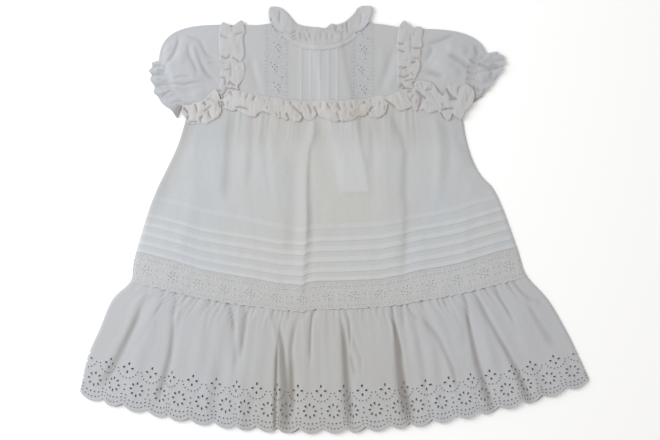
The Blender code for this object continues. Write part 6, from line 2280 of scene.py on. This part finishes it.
def build_ruffles() -> None:
    """Build all five ruffles: along the yoke seam, and round both armholes."""
    strip = Strip(YOKE_RUFFLE_RIBS, YOKE_RUFFLE_CREASES, over_seam, 1.9, 0.6)
    add_cloth(strip.form(), "ruffle_yoke_cloth", CREAM,
              Sheet(240.0, 29.0, "gathered", ("skirt_front_cloth",)), ["ruffle_yoke"])
    for side in Side:
        strip = Strip(SHOULDER_RIBS[side], SHOULDER_CREASES[side], over_yoke(-0.15), 1.6, 0.8,
                      0.8, crown=SHOULDER_CROWN[side])
        add_cloth(strip.form(), f"ruffle_shoulder_{side.value}_cloth", PALE_CREAM,
                  Sheet(100.0, 29.0 if side is Side.LEFT else 27.0, "gathered",
                        (f"yoke_side_{side.value}_cloth",)),
                  [f"ruffle_shoulder_{side.value}"])
        strip = Strip(UNDERARM_RIBS[side], UNDERARM_CREASES[side], over_yoke(0.4), 1.9, 0.8,
                      0.9)
        finish = CREAM if side is Side.LEFT else PALE_CREAM
        cut_size = (56.0, 30.0) if side is Side.LEFT else (108.0, 30.0)
        add_cloth(strip.form(), f"ruffle_underarm_{side.value}_cloth", finish,
                  Sheet(*cut_size, "gathered", (f"sleeve_{side.value}_cloth",)),
                  [f"ruffle_underarm_{side.value}"])


# ---------------------------------------------------------------- sleeves

@dataclass
class FlatTube:
    """A flattened tube of cloth, its back on the table and its front over it."""

    plan: Callable[[float, float], Spot]
    height: Callable[[float, float], tuple[float, float]]
    front: int
    rows: int
    folds: int = 5

    def ring(self, step: int) -> tuple[str, float]:
        """Part of the ring that a step lies in, and the share through it."""
        back = self.front // 2
        if step <= self.front:
            return "front", step / self.front
        step -= self.front
        if step < self.folds:
            return "low", step / self.folds
        step -= self.folds
        if step <= back:
            return "back", 1.0 - step / back
        return "top", (step - back) / self.folds

    def edge(self, share: float, place: float, out_by: float) -> Spot:
        """Point at a folded edge, moved out at right angles to it."""
        here = Vector(self.plan(share, place))
        run = (Vector(self.plan(share, min(place + 0.01, 1.0)))
               - Vector(self.plan(share, max(place - 0.01, 0.0))))
        outward = Vector((-run.y, run.x)).normalized()
        if outward.dot(Vector(self.plan(0.5, place)) - here) > 0.0:
            outward.negate()
        return Spot(*(here + outward * out_by))

    def form(self) -> bmesh.types.BMesh:
        """Build the outer face of the tube, laid on the dress."""
        around = self.front + self.front // 2 + 2 * self.folds
        form = grid(around, self.rows)
        radius = (2.0 * WALL + SEAM) / 2.0

        def shape(u: float, v: float) -> Laid:
            """Where a point of the flat cut lies on the dress."""
            part, share = self.ring(round(u * around))
            if part == "front":
                height, painted_shade = self.height(share, v)
                return Laid(*self.plan(share, v), height + WALL, 0.0, painted_shade)
            if part == "back":
                return Laid(*self.plan(share, v), 0.0)
            turn = math.pi * share
            if part == "top":
                turn = math.pi - turn
            edge = 1.0 if part == "low" else 0.0
            spot = self.edge(edge, v, radius * 0.5 * math.sin(turn))
            return Laid(*spot, radius + radius * math.cos(turn))

        lay(form, shape, (150.0, 80.0))
        bmesh.ops.remove_doubles(form, verts=form.verts[:], dist=0.00001)
        form.normal_update()
        top = max(form.faces, key=lambda face: face.calc_center_median().z)
        if top.normal.z < 0.0:
            bmesh.ops.reverse_faces(form, faces=form.faces[:])
        return form


@dataclass
class Sleeve:
    """Puff sleeve with its gathered cuff and frill."""

    side: Side
    frill_cut: tuple[float, float]
    waves: Flutes
    dome: float = SLEEVE_DOME

    def arm_point(self, share: float) -> Spot:
        """Point of the armhole that the sleeve is sewn into."""
        armhole = ARMHOLE[self.side]
        place = share * SLEEVE_END * (len(armhole) - 1)
        index = min(int(place), len(armhole) - 2)
        low, high = armhole[index], armhole[index + 1]
        return Spot(mix(low.x, high.x, place - index) + self.side.outward * 0.2,
                    mix(low.y, high.y, place - index))

    def plan(self, share: float, place: float) -> Spot:
        """Blend of the four edges of the sleeve."""
        top, cuff = SLEEVE_TOP[self.side], CUFF[self.side]
        first, last = bezier(top, 0.0), bezier(top, 1.0)
        under_first, under_last = self.arm_point(1.0), row_at(cuff, 1.0)[:2]
        top_spot = bezier(top, place)
        arm_spot, cuff_spot = self.arm_point(share), row_at(cuff, share)[:2]
        spot = []
        for axis in (0, 1):
            under = mix(under_first[axis], under_last[axis], place)
            ruled = mix(top_spot[axis], under, share)
            ruled += mix(arm_spot[axis], cuff_spot[axis], place)
            ruled -= mix(mix(first[axis], under_first[axis], share),
                         mix(last[axis], under_last[axis], share), place)
            spot.append(ruled)
        return Spot(*spot)

    def height(self, share: float, place: float) -> tuple[float, float]:
        """Height of the inside of the front, and the painted shade in its folds."""
        x, y = self.plan(share, place)
        dome = soft(share / 0.3) * soft((0.8 - share) / 0.3)
        swell = soft((place - 0.12) / 0.35) * (1.0 - 0.5 * soft((place - 0.75) / 0.25))
        edge = soft(share / 0.12) * soft((1.0 - share) / 0.12)
        folds = SLEEVE_CREASES[self.side].at(x, y)[2] * soft((place - 0.06) / 0.16)
        lift = 0.3 + self.dome * dome * swell + folds
        lift += 0.3 * crumple(x, y, 10.0, 12.0)
        lift = mix(lift, self.gathered(share), soft((place - 0.78) / 0.22))
        return WALL + SEAM + edge * max(lift, 0.0), 0.34 * soft(-folds / 1.8)

    def gathered(self, share: float) -> float:
        """Rise of the cloth where the cuff is gathered in."""
        angle, size, _ = self.waves.at(share)
        crinkle = 0.16 * math.cos(math.tau * 23.0 * share + 3.0 * math.sin(11.0 * share))
        return 0.55 + 0.28 * size * (1.0 + math.cos(angle)) + crinkle

    def frill_plan(self, share: float, place: float) -> Spot:
        """Place of the cuff's frill."""
        gather_x, gather_y, free_x, free_y = row_at(CUFF[self.side], share)
        angle, size, _ = self.waves.at(share)
        length = math.hypot(free_x - gather_x, free_y - gather_y)
        reach = mix(-0.6, length + 1.1 * size * math.cos(angle) * place, place) / length
        return Spot(mix(gather_x, free_x, reach), mix(gather_y, free_y, reach))

    def frill_height(self, share: float, place: float) -> tuple[float, float]:
        """Height of the inside of the frill's front, and the painted shade in its troughs, folds
        and opening.
        """
        x, y = self.frill_plan(share, place)
        edge = soft(share / 0.1) * soft((1.0 - share) / 0.1)
        angle, size, lean = self.waves.at(share)
        wave = 0.36 * CUFF_RISE * size * (1.0 + math.cos(angle + lean * place))
        folds = SLEEVE_CREASES[self.side].at(x, y)[2]
        lift = mix(self.gathered(share), 0.4 + wave + 0.5 * crumple(x, y, 5.0, 13.0),
                   soft(place / 0.4)) + folds
        # painted shade in the troughs of the waves, in the folds and in the dark opening of the
        # cuff
        painted_shade = 0.3 * soft(-math.cos(angle)) * place + 0.5 * soft(-folds / 1.8)
        painted_shade = max(painted_shade * edge, 0.8 * soft((share - 0.88) / 0.08) * soft(place / 0.3))
        return WALL + SEAM + edge * max(lift, 0.0), painted_shade

    def build(self) -> None:
        """Build sleeve and frill."""
        name = self.side.value
        form = FlatTube(self.plan, self.height, 120, 88).form()
        add_cloth(form, f"sleeve_{name}_cloth", YOKE_COTTON,
                  Sheet(215.0, 95.0, "gathered", (), 0.8 * 215.0 * 95.0), [f"sleeve_{name}"])
        form = FlatTube(self.frill_plan, self.frill_height, 84, 12).form()
        add_cloth(form, f"cuff_frill_{name}_cloth", YOKE_COTTON,
                  Sheet(*self.frill_cut, "gathered", (f"sleeve_{name}_cloth",)),
                  [f"cuff_frill_{name}"])


# ---------------------------------------------------------------- stitching

@dataclass
class Stitching:
    """Rows of machine stitches, each a short capsule of thread sunk into the cloth."""

    name: str
    pitch: float = 2.7
    long: float = 1.8
    thick: float = 0.17

    def __post_init__(self) -> None:
        """Start with no stitches."""
        self.form = bmesh.new()

    def stitch(self, start: Vector, end: Vector) -> None:
        """Make one stitch, which rises out of the cloth and goes back into it."""
        up = Vector((0.0, 0.0, self.thick))
        aside = (end - start).cross(up).normalized() * self.thick
        tips = [self.form.verts.new(spot - 0.6 * up) for spot in (start, end)]
        rings = [[self.form.verts.new(start.lerp(end, share) + way)
                  for way in (aside, up, -aside, -up)] for share in (0.22, 0.78)]
        for index in range(4):
            after = (index + 1) % 4
            self.form.faces.new((tips[0], rings[0][after], rings[0][index]))
            self.form.faces.new((tips[1], rings[1][index], rings[1][after]))
            self.form.faces.new((rings[0][index], rings[0][after], rings[1][after],
                                 rings[1][index]))

    def row(self, spots: Sequence[Laid]) -> None:
        """Sew along a row of places on the cloth."""
        path = [Vector((spot.x + SHIFT_X, spot.y + SHIFT_Y, spot.z)) for spot in spots]
        ends = [0.0]
        for here, after in zip(path, path[1:]):
            ends.append(ends[-1] + (after - here).length)

        def at(distance: float) -> Vector:
            """Point at a distance along the path."""
            index = max(i for i, end in enumerate(ends[:-1]) if end <= distance)
            return path[index].lerp(path[index + 1],
                                    (distance - ends[index]) / (ends[index + 1] - ends[index]))

        for number in range(int((ends[-1] - self.long) / self.pitch)):
            start = 0.5 + number * self.pitch
            self.stitch(at(start), at(start + self.long))

    def finish(self) -> None:
        """Turn the stitches into a piece."""
        bmesh.ops.recalc_face_normals(self.form, faces=self.form.faces[:])
        bmesh.ops.scale(self.form, verts=self.form.verts[:], vec=(MM, MM, MM))
        piece = add_piece(self.form, self.name, THREAD)
        LOG.info("%s: %d faces", piece.name, len(piece.data.polygons))


def sew(skirt: Skirt, yoke: Yoke, neck: Neck, sleeves: Sequence[Sleeve]) -> None:
    """Sew the tucks, the lace, the binding and the cuffs."""
    seams = Stitching("skirt_stitching")
    per_mm = 1.0 / (LEVELS[FIRST_TUCK].middle_y - LEVELS[BAND_TOP].middle_y)
    rows = [(FIRST_TUCK + (tuck + 1) / TUCKS - 5.0 * per_mm, 0.24) for tuck in range(TUCKS)]
    rows += [(BAND_TOP + 0.065, 0.22), (BAND_FOOT - 0.06, 0.22)]
    for level, rise in rows:
        spots = [skirt.outside(across, level) for across in steps(-0.985, 0.985, 240)]
        seams.row([spot._replace(z=spot.z + rise) for spot in spots])
    seams.finish()
    seams = Stitching("yoke_stitching", pitch=2.4, long=1.6, thick=0.15)
    lines = [(x + out, 0.0) for x, out in zip(LACE_EDGES, (-1.0, 1.2, -1.2, 1.0))]
    lines += [(YOKE_TUCK_FIRST_X + (tuck + 0.62) * YOKE_TUCK_PITCH - 3.7, 0.17)
              for tuck in range(YOKE_TUCKS)]
    for line, rise in lines:
        spots = [yoke.strip_place(lambda _: line, share) for share in steps(0.03, 0.97, 40)]
        seams.row([Laid(x, y, Plan.yoke_top(x, y) + rise) for x, y in spots])
    seams.finish()
    seams = Stitching("neck_stitching", pitch=2.2, long=1.5, thick=0.14)
    spots = [Plan.neck_point(share, -neck.binding_width + 0.9)
             for share in steps(neck.binding_end + 0.02, 0.98 - neck.binding_end, 80)]
    seams.row([Laid(x, y, Plan.over_yoke(x, y) + 0.44) for x, y in spots])
    seams.finish()
    seams = Stitching("cuff_stitching", pitch=2.2, long=1.5, thick=0.15)
    for sleeve in sleeves:
        seams.row([Laid(*sleeve.plan(share, 0.95), sleeve.height(share, 0.95)[0] + WALL)
                   for share in steps(0.06, 0.94, 90)])
    seams.finish()


# ---------------------------------------------------------------- buttons

@dataclass
class Button:
    """Shell button with a raised rim and four holes, under the back opening."""

    number: int
    y: float

    def build(self) -> None:
        """Turn the button, and place it below the opening."""
        profile = ((0.0, 0.95), (2.4, 1.0), (3.1, 1.45), (3.7, 1.6), (4.3, 1.4),
                   (4.5, 0.9), (4.2, 0.35), (3.2, 0.0), (0.0, 0.0))
        form = bmesh.new()
        verts = [form.verts.new((x, 0.0, z)) for x, z in profile]
        edges = [form.edges.new(pair) for pair in zip(verts, verts[1:])]
        bmesh.ops.spin(form, geom=verts + edges, cent=(0.0, 0.0, 0.0), axis=(0.0, 0.0, 1.0),
                       angle=math.tau, steps=40, use_merge=True)
        bmesh.ops.remove_doubles(form, verts=form.verts[:], dist=0.001)
        bmesh.ops.recalc_face_normals(form, faces=form.faces[:])
        place = Vector((Plan.opening_x(self.y) + SHIFT_X, self.y + SHIFT_Y, 0.0))
        bmesh.ops.translate(form, verts=form.verts[:], vec=place)
        bmesh.ops.scale(form, verts=form.verts[:], vec=(MM, MM, MM))
        name = f"back_button_{self.number}"
        piece = add_piece(form, f"{name}_shell", PEARL, [name])
        LOG.info("%s turned", piece.name)


# ---------------------------------------------------------------- studio

@dataclass
class Studio:
    """Floor, lights and the camera that looks straight down."""

    scale: float = PIXEL
    width: int = 660
    middle: Spot = Spot(-5.04, 0.3)
    distance: float = 1500.0
    sensor: float = 36.0

    def build_floor(self) -> None:
        """Pale floor."""
        form = bmesh.new()
        bmesh.ops.create_grid(form, x_segments=1, y_segments=1, size=4.0)
        floor = put_in("floor", mesh_of(form, "floor"))
        floor.location.z = -0.0002
        material, nodes, shader = new_material("pale_floor")
        nodes.feed(shader, {"Base Color": (0.98, 0.98, 0.98, 1.0), "Roughness": 0.9})
        floor.data.materials.append(material)

    def add_light(self, name: str, place: tuple[float, float, float], size: float,
                  power: float, colour: Colour) -> None:
        """Square soft light that looks at the dress."""
        light = bpy.data.lights.new(name, "AREA")
        light.shape = "SQUARE"
        light.size = size
        light.energy = power
        light.color = colour
        lamp = put_in(name, light)
        lamp.location = place
        lamp.rotation_mode = "QUATERNION"
        lamp.rotation_quaternion = (-Vector(place)).to_track_quat("-Z", "Y")

    def build(self) -> None:
        """Build the studio."""
        self.build_floor()
        world = bpy.data.worlds.new("pale_room")
        world.use_nodes = True
        Nodes(world.node_tree).feed(world.node_tree.nodes["Background"], {
            "Color": (1.0, 0.97, 0.935, 1.0), "Strength": 0.765})
        bpy.context.scene.world = world
        bpy.context.scene.view_settings.view_transform = "Standard"
        self.add_light("window", (-1.2, 0.45, 0.95), 1.0, 18.0, (0.85, 0.925, 1.0))
        camera = bpy.data.cameras.new("camera")
        camera.sensor_width = self.sensor
        camera.lens = self.sensor * self.distance / (self.width * self.scale)
        camera.clip_end = 20.0
        eye = put_in("camera", camera)
        eye.location = ((self.middle.x + SHIFT_X) * MM, (self.middle.y + SHIFT_Y) * MM,
                        self.distance * MM)
        bpy.context.scene.camera = eye


def main() -> None:
    """Build the dress, piece by piece, and the studio round it."""
    logging.basicConfig(level=logging.INFO, format="%(message)s")
    Groups.build()
    Studio().build()
    skirt = Skirt()
    skirt.build()
    LaceBand(skirt).build()
    Flounce(skirt).build()
    yoke, neck = Yoke(), Neck()
    yoke.build()
    neck.build()
    build_ruffles()
    sleeves = (Sleeve(Side.LEFT, (140.0, 17.0), Flutes(5, 4, 0.5)),
               Sleeve(Side.RIGHT, (170.0, 19.0), Flutes(6, 9, 0.6)))
    for sleeve in sleeves:
        sleeve.build()
    sew(skirt, yoke, neck, sleeves)
    for number, y in enumerate(BUTTONS, start=1):
        Button(number, y).build()


if __name__ == "__main__":
    main()
